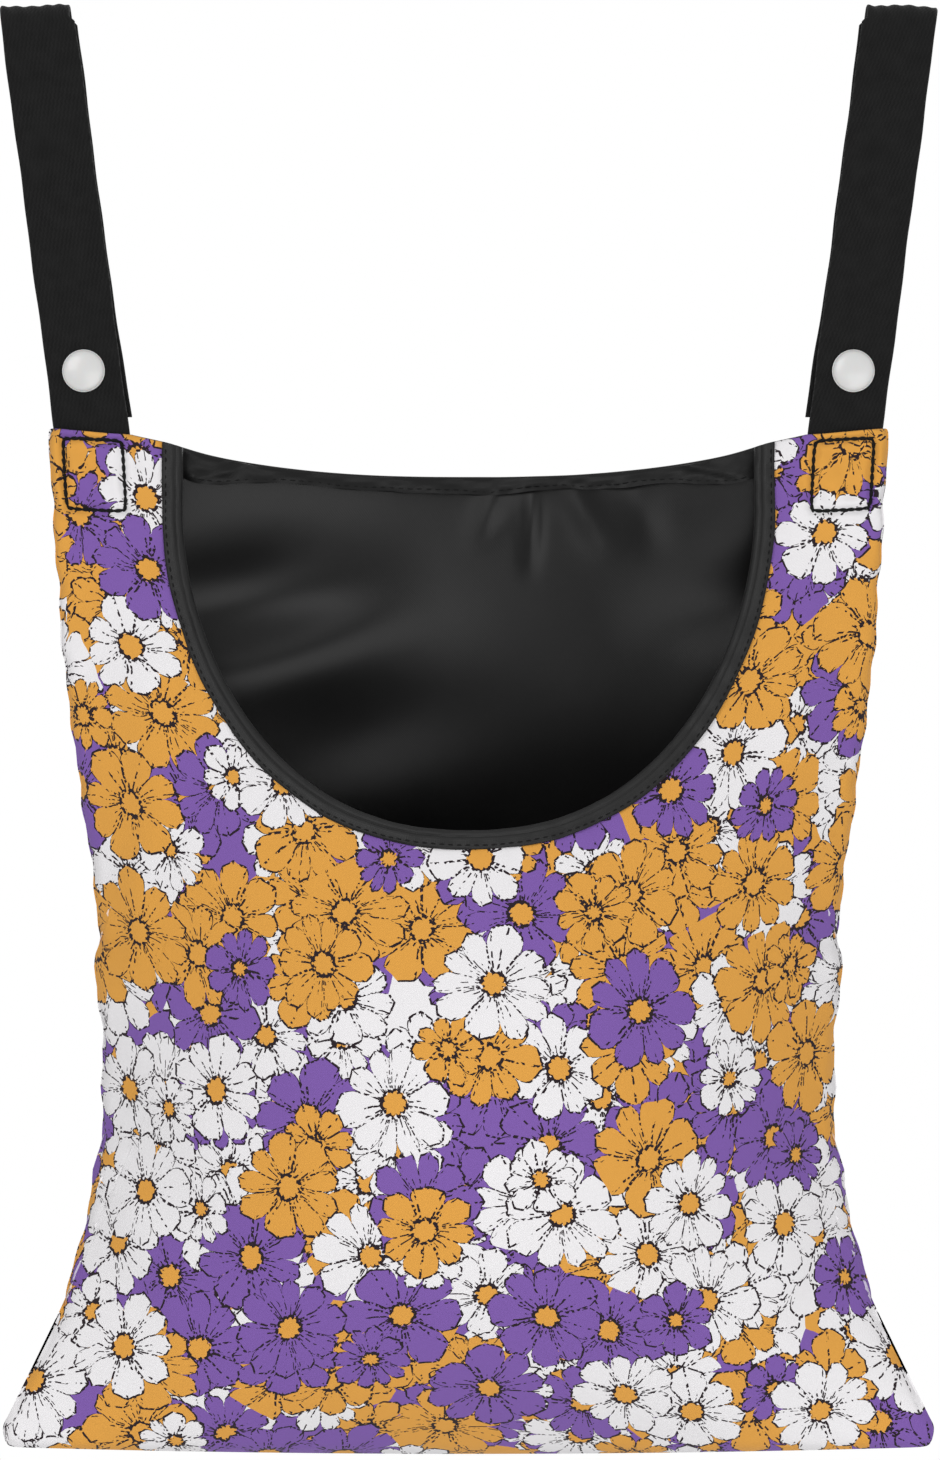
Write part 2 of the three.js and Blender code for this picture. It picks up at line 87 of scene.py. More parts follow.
def ease(share):
    """Smooth step from 0 to 1: three squares less two cubes of the share, held between 0 and 1."""
    held = np.clip(share, 0, 1)
    return held * held * (3 - 2 * held)


def crowded(count, pull):
    """Places from 0 to 1, closer at both ends: a straight count less a share of one sine wave."""
    place = np.linspace(0, 1, count)
    return place - pull * np.sin(2 * np.pi * place) / (2 * np.pi)


def rounded(distance, reach):
    """Rise of a quarter circle: 0 at the edge, 1 from the reach onwards."""
    left = 1 - np.clip(distance / reach, 0, 1)
    return np.sqrt(1 - left * left)


def bell(distance, reach):
    """Bell curve: 1 at no distance, about a third at the reach, next to nothing at twice the reach."""
    return np.exp(-(distance / reach) ** 2)


def sine(place, height, run, phase=0):
    """A sine wave of a given height, which turns by one radian in each run."""
    return height * np.sin(place / run + phase)


def slanting(rows, x, z):
    """Sum of sine waves that run aslant: each row has a height, its runs up and across, and a phase."""
    return sum(height * np.sin(z / up + x / across + phase) for height, up, across, phase in rows)


def loop_faces(rows, columns):
    """Quads between neighbours on a grid whose columns run round in a loop."""
    number = np.arange(rows * columns).reshape(rows, columns)
    number = np.hstack([number, number[:, :1]])
    corners = [number[:-1, :-1], number[:-1, 1:], number[1:, 1:], number[1:, :-1]]
    return np.stack(corners, axis=-1).reshape(-1, 4)


def sheet_mesh(outer, inner, flat):
    """Points, faces and flat places of a sheet: a row runs along one side and back along the other."""
    rows, columns = outer.shape[:2]
    points = np.concatenate([outer, inner[:, ::-1]], axis=1)
    places = np.concatenate([flat, flat[:, ::-1]], axis=1)
    here = np.arange(columns - 1)
    end = np.stack([here, here + 1, 2 * columns - 2 - here, 2 * columns - 1 - here], axis=1)
    last = (rows - 1) * 2 * columns
    faces = np.vstack([loop_faces(rows, 2 * columns), end[:, ::-1], end + last])
    return points.reshape(-1, 3), faces, places.reshape(-1, 2)


def facing_out(points, faces):
    """The faces, all turned round if six times the volume that they enclose is negative."""
    a, b, c, d = (points[faces[:, k]] for k in range(4))
    volume = np.sum(a * np.cross(b, c)) + np.sum(a * np.cross(c, d))
    return faces[:, ::-1] if volume < 0 else faces


def new_piece(name, points, faces, flat, material):
    """A smooth closed mesh at the origin, from points and flat places in millimetres and from quads."""
    mesh = bpy.data.meshes.new(name)
    mesh.from_pydata((points * MM).tolist(), [], facing_out(points, faces).tolist())
    corner = np.empty(len(mesh.loops), int)
    mesh.loops.foreach_get("vertex_index", corner)
    layer = mesh.uv_layers.new(name="flat")
    layer.data.foreach_set("uv", (flat[corner] * MM).astype(np.float32).ravel())
    welded = bmesh.new()
    welded.from_mesh(mesh)
    bmesh.ops.remove_doubles(welded, verts=welded.verts, dist=WELD)
    bmesh.ops.dissolve_degenerate(welded, edges=welded.edges, dist=SLIVER)
    welded.to_mesh(mesh)
    welded.free()
    mesh.shade_smooth()
    mesh.set_sharp_from_angle(angle=SHARP_ANGLE)
    mesh.materials.append(material)
    piece = bpy.data.objects.new(name, mesh)
    bpy.context.scene.collection.objects.link(piece)
    print(f"{name}: {len(mesh.polygons)} faces")
    return piece


def mark_side(piece, name, rows, columns, inner):
    """Gives every point of a sheet a value: inner on its inner side, and the rest of 1 on its outer."""
    value = np.full((rows, 2 * columns), 1 - inner, np.float32)
    value[:, columns:] = inner
    layer = piece.data.attributes.new(name, "FLOAT", "POINT")
    layer.data.foreach_set("value", value.ravel())


print("helpers for meshes are ready, sharp over", round(np.degrees(SHARP_ANGLE)), "degrees")

# %% [markdown]
# ## Colours and nodes
# Colours are written as the sRGB hex codes that a colour picker shows, and one function makes them
# linear for the shader. Another adds a node with its settings and its links, so that a material reads
# as a list of steps.

# %% Helpers for materials
def linear(code):
    """Linear RGBA of an sRGB hex colour: a line near black, a power of 2.4 above it."""
    channel = np.array([int(code[k:k + 2], 16) for k in (1, 3, 5)]) / 255
    bright = ((channel + 0.055) / 1.055) ** 2.4
    return (*np.where(channel <= 0.04045, channel / 12.92, bright), 1.0)


def add_node(tree, kind, inputs, **settings):
    """Adds a node with settings for its properties and a value, output or node for each input."""
    made = tree.nodes.new(kind)
    for name, value in settings.items():
        setattr(made, name, value)
    for socket, value in inputs.items():
        if isinstance(value, bpy.types.Node):
            value = value.outputs[0]
        if isinstance(value, bpy.types.NodeSocket):
            tree.links.new(value, made.inputs[socket])
        else:
            made.inputs[socket].default_value = value
    return made


def new_material(name, **sockets):
    """A material, its shader with constant sockets set, and a function that adds nodes to it."""
    material = bpy.data.materials.new(name)
    material.use_nodes = True
    shader = material.node_tree.nodes["Principled BSDF"]
    for socket, value in sockets.items():
        shader.inputs[socket.replace("_", " ")].default_value = value
    return material, shader, partial(add_node, material.node_tree)


def maths(add, operation, *values):
    """A node that works out one sum, product, wave or comparison of its values."""
    return add("ShaderNodeMath", dict(enumerate(values)), operation=operation)


def mixed(add, share, first, second):
    """The colour at a share of the way from a first colour to a second one."""
    return add("ShaderNodeMix", {0: share, 6: first, 7: second}, data_type="RGBA").outputs[2]


def link(shader, socket, value):
    """Joins an output, or a node's first output, to a socket of the shader."""
    output = value.outputs[0] if isinstance(value, bpy.types.Node) else value
    shader.id_data.links.new(output, shader.inputs[socket])


def emboss(add, shader, height, strength, depth):
    """Tilts the shader's normal by a pattern of heights, as deep and as strong as said."""
    bump = add("ShaderNodeBump", {"Height": height, "Strength": strength, "Distance": depth})
    link(shader, "Normal", bump)


print("middle grey is", round(linear("#808080")[0], 3), "in linear light")

# %% [markdown]
# ## The printed daisies
# The front is thin woven polyester with daisies printed all over it. A picture could be mapped on, but
# here the print is worked out: each layer is a Voronoi pattern whose cells each hold one daisy. A
# daisy's edge is a circle that swells and shrinks with the angle, which gives petals. Layers lie over
# each other, so that daisies overlap as they do on such cloth. Ink lines are broken by a fine noise, as
# screen-printed pen strokes are.

# %% Daisies
PURPLE, ORANGE, WHITE, INK = "#7C59A8", "#DFA045", "#ECEAEC", "#1E1118"
DRAWN_LINE = 0.32           # half the width of a pen stroke, mm
DASH_SIZE = 1.2 * MM        # from dash to dash along a broken stroke
DAISY_JITTER = 0.5
FEWEST_PETALS, MORE_PETALS = 8, 3
PETAL_UNEVEN, TIP_POWER, TIP_SHARE, SCALLOP = 0.16, 0.42, 0.36, 0.035
SHORT_PETAL, PETAL_SPREAD, PETAL_WAVE = 0.74, 0.2, 0.05     # shares of a daisy's radius
EYE_SHARE, EYE_WAVE = 0.17, 0.7
DASH_SHARE, EDGE_DASH_SHARE = 0.46, 0.40                    # noise above these is ink
EYE_STROKES, TIP_STROKES = (0.17, 0.5), (-0.09, 0.86)       # how far strokes waver, and their middle
GAP_LINE, VEIN_LINE, EDGE_LINE, RING_LINE = (width * DRAWN_LINE for width in (4.4, 10, 1.15, 1.7))
DAISY_SPLIT = (0.62, 0.34)                                  # purple above one, white below the other
# spacing and radius of the daisies in mm, then turn in degrees and shift in cells of each layer
DAISY_LAYERS = [
    (33, 18.0, 12, (0.30, 0.10)),
    (38, 21.0, 41, (0.75, 0.40)),
    (37, 20.0, 67, (0.15, 0.85)),
    (43, 21.5, 23, (0.55, 0.20)),
    (46, 22.0, 80, (0.05, 0.65)),
    (54, 15.0, 52, (0.45, 0.35)),
    (62, 21.5, 5, (0.85, 0.15)),
]


def three_colours(add, pick, purple_from, white_below):
    """One of the three printed colours for a number from 0 to 1: white, then orange, then purple."""
    white = maths(add, "LESS_THAN", pick, white_below)
    purple = maths(add, "GREATER_THAN", pick, purple_from)
    return mixed(add, purple, mixed(add, white, linear(ORANGE), linear(WHITE)), linear(PURPLE))


def daisy_layer(add, flat, broken, below, spacing, radius, turn, shift):
    """Draws daisies over a colour: distance and angle from a cell's point give petals and lines."""
    math = partial(maths, add)
    size = 1 / (spacing * MM)
    place = add("ShaderNodeMapping", {"Vector": flat, "Location": (*shift, 0),
                "Rotation": (0, 0, np.radians(turn)), "Scale": (size, size, size)})
    cell = add("ShaderNodeTexVoronoi", {"Vector": place, "Scale": 1, "Randomness": DAISY_JITTER},
               voronoi_dimensions="2D")
    chance = add("ShaderNodeSeparateColor", {0: cell.outputs["Color"]})
    offset = add("ShaderNodeVectorMath", {0: place, 1: cell.outputs["Position"]}, operation="SUBTRACT")
    length = add("ShaderNodeVectorMath", {0: offset}, operation="LENGTH")
    away = math("MULTIPLY", length.outputs["Value"], spacing)
    axes = add("ShaderNodeSeparateXYZ", {0: offset})
    angle = math("ARCTAN2", axes.outputs[1], axes.outputs[0])
    turned = math("MULTIPLY_ADD", chance.outputs[0], 2 * np.pi, angle)

    # petals: how many, how wide each, how long each
    pick = math("MULTIPLY_ADD", chance.outputs[1], MORE_PETALS, FEWEST_PETALS)
    petals = math("FLOOR", pick)
    twice = math("MULTIPLY_ADD", turned, 2, chance.outputs[2])
    uneven = math("SINE", twice)
    warped = math("MULTIPLY_ADD", uneven, PETAL_UNEVEN, turned)
    half = math("MULTIPLY", petals, 0.5)
    swing = math("MULTIPLY", warped, half)
    wave = math("ABSOLUTE", math("COSINE", swing))
    spread = math("MULTIPLY", swing, 3)
    fan = math("ABSOLUTE", math("SINE", spread))
    tip = math("POWER", wave, TIP_POWER)
    thrice = math("MULTIPLY_ADD", turned, 3, chance.outputs[1])
    longer = math("MULTIPLY_ADD", math("SINE", thrice), PETAL_WAVE * radius, SHORT_PETAL * radius)
    reach = math("MULTIPLY_ADD", chance.outputs[2], PETAL_SPREAD * radius, longer)
    swell = math("MULTIPLY_ADD", tip, TIP_SHARE, 1 - TIP_SHARE)
    scallop = math("MULTIPLY_ADD", fan, -SCALLOP, swell)
    edge = math("MULTIPLY", reach, scallop)

    # pen strokes: along the petals' edges and between them, and a fan of them from the eye and the tip
    dots = math("GREATER_THAN", broken, DASH_SHARE)
    edge_dots = math("GREATER_THAN", broken, EDGE_DASH_SHARE)
    restless = math("MULTIPLY_ADD", turned, 7, chance.outputs[1])
    wander = math("SINE", restless)
    inner_end = math("MULTIPLY_ADD", wander, *EYE_STROKES)
    outer_start = math("MULTIPLY_ADD", wander, *TIP_STROKES)
    along = math("DIVIDE", away, edge)
    from_eye = math("LESS_THAN", along, inner_end)
    from_tip = math("GREATER_THAN", along, outer_start)
    strokes = math("MAXIMUM", from_eye, from_tip)
    between = math("MULTIPLY", away, wave)
    gaps = math("LESS_THAN", between, GAP_LINE)
    middle = math("MULTIPLY", away, fan)
    vein = math("LESS_THAN", middle, VEIN_LINE)
    outline = math("COMPARE", away, edge, EDGE_LINE)
    gap_ink = math("MULTIPLY", gaps, dots)
    veins = math("MULTIPLY", vein, strokes)
    vein_ink = math("MULTIPLY", veins, dots)
    edge_ink = math("MULTIPLY", outline, edge_dots)
    inner_ink = math("MAXIMUM", gap_ink, vein_ink)
    lines = math("MAXIMUM", inner_ink, edge_ink)

    # the eye, with its ragged ring
    eye = math("MULTIPLY_ADD", wave, EYE_WAVE, EYE_SHARE * radius)
    ring = math("COMPARE", away, eye, RING_LINE)
    ring_ink = math("MULTIPLY", ring, edge_dots)
    in_eye = math("LESS_THAN", away, eye)
    inside = math("LESS_THAN", away, edge)
    shown = math("MAXIMUM", inside, edge_ink)

    petal = three_colours(add, math("FRACT", pick), *DAISY_SPLIT)
    inked = mixed(add, lines, petal, linear(INK))
    eyed = mixed(add, in_eye, inked, linear(ORANGE))
    ringed = mixed(add, ring_ink, eyed, linear(INK))
    return mixed(add, shown, below, ringed)


print(len(DAISY_LAYERS), "layers of daisies, each with at least", FEWEST_PETALS, "petals")

# %% [markdown]
# ## The front cloth
# Behind the daisies lie patches of plain colour. The whole print is shaken a little by a soft noise, as
# lines drawn by hand are. Ink soaks only part of the way through thin cloth, so its reverse is paler.

# %% Printed cloth
WOVEN_THREAD = 0.9 * MM     # real threads are near 0.25 mm, drawn coarser so that they show
GROUND_PITCH, GROUND_SPLIT = 25 * MM, (0.50, 0.12)
HAND_SIZE, HAND_SHAKE = 11 * MM, 2.6 * MM
REVERSE_FADE = 0.6


def weave_height(add, flat, thread):
    """Height of a plain weave: the product of two sine waves, one along each set of threads."""
    wave = 2 * np.pi / thread
    axes = add("ShaderNodeSeparateXYZ", {0: flat})
    heights = []
    for axis in (0, 1):
        phase = maths(add, "MULTIPLY", axes.outputs[axis], wave)
        heights.append(maths(add, "SINE", phase))
    return maths(add, "MULTIPLY", heights[0], heights[1])


# Printed woven polyester: matt, with a faint sheen at grazing angles and a barely visible weave.
printed_polyester, shader, add = new_material(
    "printed_polyester", Roughness=0.82, Sheen_Weight=0.12, Sheen_Roughness=0.5,
    Specular_IOR_Level=0.25)
flat = add("ShaderNodeUVMap", {}, uv_map="flat")
wobble = add("ShaderNodeTexNoise", {"Vector": flat, "Scale": 1 / HAND_SIZE, "Detail": 3})
shaky = add("ShaderNodeVectorMath", {0: wobble.outputs["Color"], 1: (HAND_SHAKE,) * 3, 2: flat},
            operation="MULTIPLY_ADD")
patch = add("ShaderNodeTexVoronoi", {"Vector": shaky, "Scale": 1 / GROUND_PITCH},
            voronoi_dimensions="2D")
ground = add("ShaderNodeSeparateColor", {0: patch.outputs["Color"]})
colour = three_colours(add, ground.outputs[0], *GROUND_SPLIT)
broken = add("ShaderNodeTexNoise", {"Vector": flat, "Scale": 1 / DASH_SIZE, "Detail": 0})
for layer in DAISY_LAYERS:
    colour = daisy_layer(add, shaky, broken, colour, *layer)
reverse = add("ShaderNodeAttribute", {}, attribute_name="reverse").outputs["Fac"]
paler = maths(add, "MULTIPLY", reverse, REVERSE_FADE)
link(shader, "Base Color", mixed(add, paler, colour, linear(WHITE)))
weave = weave_height(add, flat, WOVEN_THREAD)
emboss(add, shader, weave, strength=0.12, depth=0.2 * MM)
print(printed_polyester.name, "has", len(shader.id_data.nodes), "nodes")

# %% [markdown]
# ## The dark cloths
# The back is a light satin, which catches soft broad highlights on its folds. Its smooth side faces in,
# and its colour has soft blotches of painted sheen. Its outside is duller, and so is the hem, where the
# outside is turned in; their colour is painted darker there, as painted shade for the weaker sheen. The
# tape round the scoop is cut on the bias, so its threads run at 45 degrees.

# %% Satin and tape
SATIN_THREAD = 0.8 * MM      # coarser than real, so that it shows
# painted shade: how much a pattern of ridges or creases darkens or lightens a cloth's tone
PAINTED_SHADE_TONE = 0.4             # how much a ridge changes the tone of a cloth
# painted shade: how far the dull side's colour is pulled towards a darker black
SHADED_DULL_BLACK, DULL_SHADE_SHARE = "#090909", 0.75
SMOOTH_ROUGHNESS, DULL_ROUGHNESS = 0.3, 0.14    # the second is added on the dull side
TAPE_WIDTH = 6.8
# painted highlight along the tape's middle, painted shade at its edges, and streaks of painted sheen
BAND_HIGHLIGHT_TONE, EDGE_SHADE_TONE = 0.9, 1.6               # the band's middle is paler than its creased edges
SHEEN_STREAK_STRETCH = 0.08


def mottled(add, shader, flat, code_low, code_high, size, ridge=None):
    """Colours the shader between two tones by soft noise of one size, and by a pattern of painted shade
    if given.
    """
    tone = add("ShaderNodeTexNoise", {"Vector": flat, "Scale": 1 / size, "Detail": 3})
    if ridge:
        tone = maths(add, "MULTIPLY_ADD", ridge, PAINTED_SHADE_TONE, tone)
    colour = mixed(add, tone, linear(code_low), linear(code_high))
    link(shader, "Base Color", colour)
    return colour


# Satin-woven polyester: smooth floats of thread give a soft, wide highlight. Its colour has blotches of
# painted sheen, and its dull side is painted darker as painted shade.
satin_lining, shader, add = new_material(
    "satin_lining", Sheen_Weight=0.05, Sheen_Roughness=0.4, Specular_IOR_Level=0.18)
flat = add("ShaderNodeUVMap", {}, uv_map="flat")
# blotches of painted sheen: soft noise between two blacks
tone = mottled(add, shader, flat, "#080808", "#191919", 38 * MM)
dull_side = add("ShaderNodeAttribute", {}, attribute_name="dull_side").outputs["Fac"]
share = maths(add, "MULTIPLY", dull_side, DULL_SHADE_SHARE)
# painted shade on the dull side
link(shader, "Base Color", mixed(add, share, tone, linear(SHADED_DULL_BLACK)))
link(shader, "Roughness", maths(add, "MULTIPLY_ADD", dull_side, DULL_ROUGHNESS, SMOOTH_ROUGHNESS))
weave = weave_height(add, flat, SATIN_THREAD)
emboss(add, shader, weave, strength=0.10, depth=0.2 * MM)

# Bias-cut polyester tape: charcoal with a soft gloss, its weave at 45 degrees. Its colour has painted
# shade at both edges, a painted highlight along its middle and lengthwise streaks of painted sheen.
bias_tape, shader, add = new_material(
    "bias_tape", Roughness=0.45, Sheen_Weight=0.08, Sheen_Roughness=0.45, Specular_IOR_Level=0.2)
flat = add("ShaderNodeUVMap", {}, uv_map="flat")
across = add("ShaderNodeSeparateXYZ", {0: flat}).outputs[1]
# painted shade: darker towards the nose and the outer edge, a painted highlight in the middle
from_nose = maths(add, "ABSOLUTE", across)
from_middle = maths(add, "SUBTRACT", from_nose, TAPE_WIDTH * MM / 2)
scaled = maths(add, "MULTIPLY", from_middle, 2 / (TAPE_WIDTH * MM))
edge_shade = maths(add, "MULTIPLY", scaled, scaled)
band = maths(add, "MULTIPLY_ADD", edge_shade, -EDGE_SHADE_TONE, BAND_HIGHLIGHT_TONE)
# lengthwise streaks of painted sheen
sheen_streaks = add("ShaderNodeMapping", {"Vector": flat, "Scale": (SHEEN_STREAK_STRETCH, 1, 1)})
mottled(add, shader, sheen_streaks, "#060606", "#262626", 1.8 * MM, band)
slanted = add("ShaderNodeMapping", {"Vector": flat, "Rotation": (0, 0, np.radians(45))})
weave = weave_height(add, slanted, SATIN_THREAD)
emboss(add, shader, weave, strength=0.2, depth=0.2 * MM)
print("cloths:", satin_lining.name, "and", bias_tape.name)

# %% [markdown]
# ## Webbing and thread
# The straps are twill webbing, whose fine ridges climb steeply along it and step aside at each float of
# thread. The thread of the stitches is twisted from plies, which slant across it.

# %% Webbing and thread
TWILL_PITCH = 1.3 * MM       # real ridges are near 0.9 mm apart, drawn coarser so that they show
TWILL_SLOPE = 0.27           # they run steeply up the strap
FLOAT_PITCH = 1.9 * MM       # one float of thread along a ridge
FLOAT_STEP = 0.8             # how far a ridge steps aside at each float
PLY_PITCH = 0.5 * MM

# Twill-woven webbing: dull black, with fine slanting ridges; its colour has painted shade in the grooves
# and a painted highlight on the crests.
twill_webbing, shader, add = new_material(
    "twill_webbing", Roughness=0.85, Sheen_Weight=0.08, Sheen_Roughness=0.5, Specular_IOR_Level=0.17)
flat = add("ShaderNodeUVMap", {}, uv_map="flat")
axes = add("ShaderNodeSeparateXYZ", {0: flat})
slant = maths(add, "MULTIPLY_ADD", axes.outputs[1], -TWILL_SLOPE, axes.outputs[0])
phase = maths(add, "MULTIPLY", slant, 2 * np.pi / TWILL_PITCH)
beat = maths(add, "MULTIPLY", axes.outputs[1], 2 * np.pi / FLOAT_PITCH)
floats = maths(add, "SINE", beat)
stepped = maths(add, "MULTIPLY_ADD", floats, FLOAT_STEP, phase)
climb = maths(add, "SINE", stepped)
worn = add("ShaderNodeTexNoise", {"Vector": flat, "Scale": 1 / (14 * MM), "Detail": 2})
ridge = maths(add, "MULTIPLY", climb, worn)
# the ridges paint shade into the grooves and a highlight onto the crests
mottled(add, shader, flat, "#070707", "#1A1A1A", 6 * MM, ridge)
emboss(add, shader, ridge, strength=0.5, depth=0.3 * MM)

# Spun polyester thread: black, with the slant of its twisted plies.
spun_thread, shader, add = new_material(
    "spun_thread", Roughness=0.7, Sheen_Weight=0.05, Specular_IOR_Level=0.15)
flat = add("ShaderNodeUVMap", {}, uv_map="flat")
mottled(add, shader, flat, "#060606", "#0E0E0E", 2 * MM)
axes = add("ShaderNodeSeparateXYZ", {0: flat})
slant = maths(add, "ADD", axes.outputs[0], axes.outputs[1])
phase = maths(add, "MULTIPLY", slant, 2 * np.pi / PLY_PITCH)
ply = maths(add, "SINE", phase)
emboss(add, shader, ply, strength=0.4, depth=0.1 * MM)
print(twill_webbing.name, "and", spun_thread.name, "are ready")

# %% [markdown]
# ## The snaps' resin
# Press snaps of this kind are moulded from acetal resin, which is white, dense and glossy, and lets a
# little light in under its skin. A faint mould ripple keeps the highlight from being perfect.

# %% Moulded resin
acetal_resin, shader, add = new_material(
    "acetal_resin", Roughness=0.26, IOR=1.48, Subsurface_Weight=0.08, Subsurface_Scale=0.001,
    Coat_Weight=0.25, Coat_Roughness=0.12)
place = add("ShaderNodeTexCoord", {}).outputs["Object"]
mottled(add, shader, place, "#D2D2D1", "#D9D9D8", 6 * MM)
mould = add("ShaderNodeTexNoise", {"Vector": place, "Scale": 1 / (2.5 * MM), "Detail": 1})
emboss(add, shader, mould, strength=0.06, depth=0.1 * MM)
print(acetal_resin.name, "is ready")

# %% [markdown]
# ## The bag's sizes
# Both panels share one outline: flared at the bottom, drawn in at a waist, wider again at the straps.
# Between the seams each panel swells, most of all low down, as it does when the bag is filled. The
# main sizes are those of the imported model, so the cloth lies where the solids are.

# %% Sizes in millimetres
BAG_TOP, BAG_HEIGHT = -138.0, 335.0
BAG_BOTTOM = BAG_TOP - BAG_HEIGHT
TOP_WIDTH, WAIST_WIDTH, BOTTOM_WIDTH = 276.0, 240.0, 306.0
WAIST_HEIGHT, FLARE_POWER = 110.0, 1.7
CORNER_BLUNT, BLUNT_HEIGHT = 3.5, 8.0
SWELL_START, SWELL_END, SWELL_SHARE = 150.0, 265.0, 0.64
RAMP_START = 240.0
FRONT_BELLY, BACK_BELLY, MOUTH_GAPE, MOUTH_POWER = 62.0, 45.0, 12.0, 3
TOP_SAG, SAG_POWER, BOTTOM_SAG = 13.3, 2.6, 2.3
SHOULDER_SLOPE = 0.09
TAPE_PROP, PROP_X, PROP_REACH = 0.9, 99.0, 10.0
BELLY_LOW, BELLY_HIGH = 0.9, 1.6
BELLY_PEAK = BELLY_LOW / (BELLY_LOW + BELLY_HIGH)
BIGHT_RADIUS, WEB_WIDTH, WEB_THICKNESS = 5.0, 25.0, 1.8
STRAP_LEAN = np.tan(np.radians(7.5))
WEB_RUN = WEB_WIDTH * np.sqrt(1 + STRAP_LEAN ** 2)
SEAM_Y = -(BIGHT_RADIUS + WEB_THICKNESS / 2)
PANEL_LIFT = 2.4            # outer face of a panel from the seam plane
SEAM_LIFT = 0.25            # the same where the two panels are sewn together
SEAM_ROLL = 3.5             # width of the rolled edge along a seam
SEAM_FLAT = 0.5             # the very edge of a seam, where both panels lie on each other
STRAP_INSET = 1.9           # from the end of the top edge to a strap
STRAP_FOOT = TOP_WIDTH / 2 - STRAP_INSET - WEB_RUN / 2
SAG_SPAN = STRAP_FOOT - WEB_RUN / 2
FRONT, BACK = -1, 1
print("bag:", BOTTOM_WIDTH, "x", BAG_HEIGHT, "mm, belly", FRONT_BELLY + BACK_BELLY, "mm deep")

# %% [markdown]
# ## The outline
# The sides follow a smooth curve with a few soft kinks in it, because sewn cloth doesn't hang in a
# pure curve. The corners are eased in, and the seams pucker a little along their length.

# %% Outline
CORNER_ROUND, SHOULDER_ROUND = 1.6, 1.4
EDGE_POWER, EDGE_FADE = 24, 12  # puckers stay at the very edge, and fade a twelfth from the corners
# each row: height of a kink in the side seams, its run above and below, and how far it stands out
SEAM_KINKS = [(162, 7, 28, 2.4), (92, 9, 30, 0.9), (38, 24, 24, -1.7)]


def seam_kinks(height):
    """Sum of the side seams' kinks: each is a bump that falls off as a smooth step up and down."""
    total = np.zeros_like(height)
    for middle, above, below, out in SEAM_KINKS:
        away = height - middle
        total = total + out * ease(1 - np.where(away > 0, away / above, -away / below))
    return total


def half_width(height):
    """Half the width at a height: a power curve below the waist, a smooth step and a ramp above it.

    The power curve is blunted by a smooth step just over the bottom corners, and kinks are added.
    """
    height = np.asarray(height, float)
    spread = (BOTTOM_WIDTH - WAIST_WIDTH) / 2 + CORNER_BLUNT
    flare = spread * np.clip(1 - height / WAIST_HEIGHT, 0, 1) ** FLARE_POWER
    flare = flare - CORNER_BLUNT * ease(1 - height / BLUNT_HEIGHT)
    step = ease((height - SWELL_START) / (SWELL_END - SWELL_START))
    ramp = np.clip((height - RAMP_START) / (BAG_HEIGHT - RAMP_START), 0, 1)
    widening = (TOP_WIDTH - WAIST_WIDTH) / 2 * (SWELL_SHARE * step + (1 - SWELL_SHARE) * ramp)
    return WAIST_WIDTH / 2 + flare + widening + seam_kinks(height)


def top_edge(x):
    """Height of the top edge: it slopes under the straps, is propped by the tape and sags between."""
    slope = SHOULDER_SLOPE * (np.maximum(np.abs(x), SAG_SPAN) - STRAP_FOOT)
    prop = TAPE_PROP * bell(np.abs(x) - PROP_X, PROP_REACH)
    return BAG_TOP + slope + prop - TOP_SAG * (1 - np.minimum(1, np.abs(x) / SAG_SPAN) ** SAG_POWER)


def bottom_edge(x):
    """Height of the bottom edge: a shallow parabola."""
    return BAG_BOTTOM + BOTTOM_SAG * (x / (BOTTOM_WIDTH / 2)) ** 2


def height_share(x, z):
    """0 on the bottom edge, 1 on the top edge."""
    return np.clip((z - bottom_edge(x)) / (top_edge(x) - bottom_edge(x)), 0, 1)


def eased_in(distance, radius):
    """How far a corner is eased in at a distance from it: a falling exponential."""
    return radius * np.exp(-np.maximum(0, distance) / radius)


def edge_waves(z, share):
    """Small puckers of the side edges: two sine waves, fading out at the corners."""
    waves = sine(z, height=0.28, run=2.1) + sine(z, height=0.34, run=4.7, phase=1)
    return waves * ease(share * EDGE_FADE) * ease((1 - share) * EDGE_FADE)


def on_outline(across, share):
    """Place in X and Z from shares of the half width and of the height, its corners eased in."""
    x = across * half_width(share * BAG_HEIGHT)
    low, high = bottom_edge(x), top_edge(x)
    z = low + share * (high - low)
    inward = 1 - np.abs(across)
    corner = eased_in(inward * BOTTOM_WIDTH / 2 + share * BAG_HEIGHT, CORNER_ROUND)
    shoulder = eased_in(inward * TOP_WIDTH / 2 + (1 - share) * BAG_HEIGHT, SHOULDER_ROUND)
    pucker = edge_waves(z, share) * np.abs(across) ** EDGE_POWER
    return x + np.sign(x) * (pucker - corner - shoulder), z + corner - shoulder


def seam_distance(x, z):
    """How far a place lies inside the flat edge of the side or the bottom seam, whichever is nearer."""
    share = height_share(x, z)
    corner = eased_in(share * BAG_HEIGHT, CORNER_ROUND)
    shoulder = eased_in((1 - share) * BAG_HEIGHT, SHOULDER_ROUND)
    side = half_width(share * BAG_HEIGHT) + edge_waves(z, share) - corner - shoulder - np.abs(x)
    low = z - bottom_edge(x) - eased_in(side, CORNER_ROUND)
    return np.maximum(0, np.minimum(side, low) - SEAM_FLAT)


heights = BAG_HEIGHT * np.linspace(0, 1, 3)
print("half widths at bottom, middle and top:", np.round(half_width(heights), 1))

# %% [markdown]
# ## Folds
# Cloth that is pulled by straps and pushed out by its load shows soft drag lines. Each is a ridge: a
# bell curve across a line, fading to nothing at both ends. A cloth simulation could find them too, but
# a short list keeps them where the real bag has them, and gives the same bag each time.

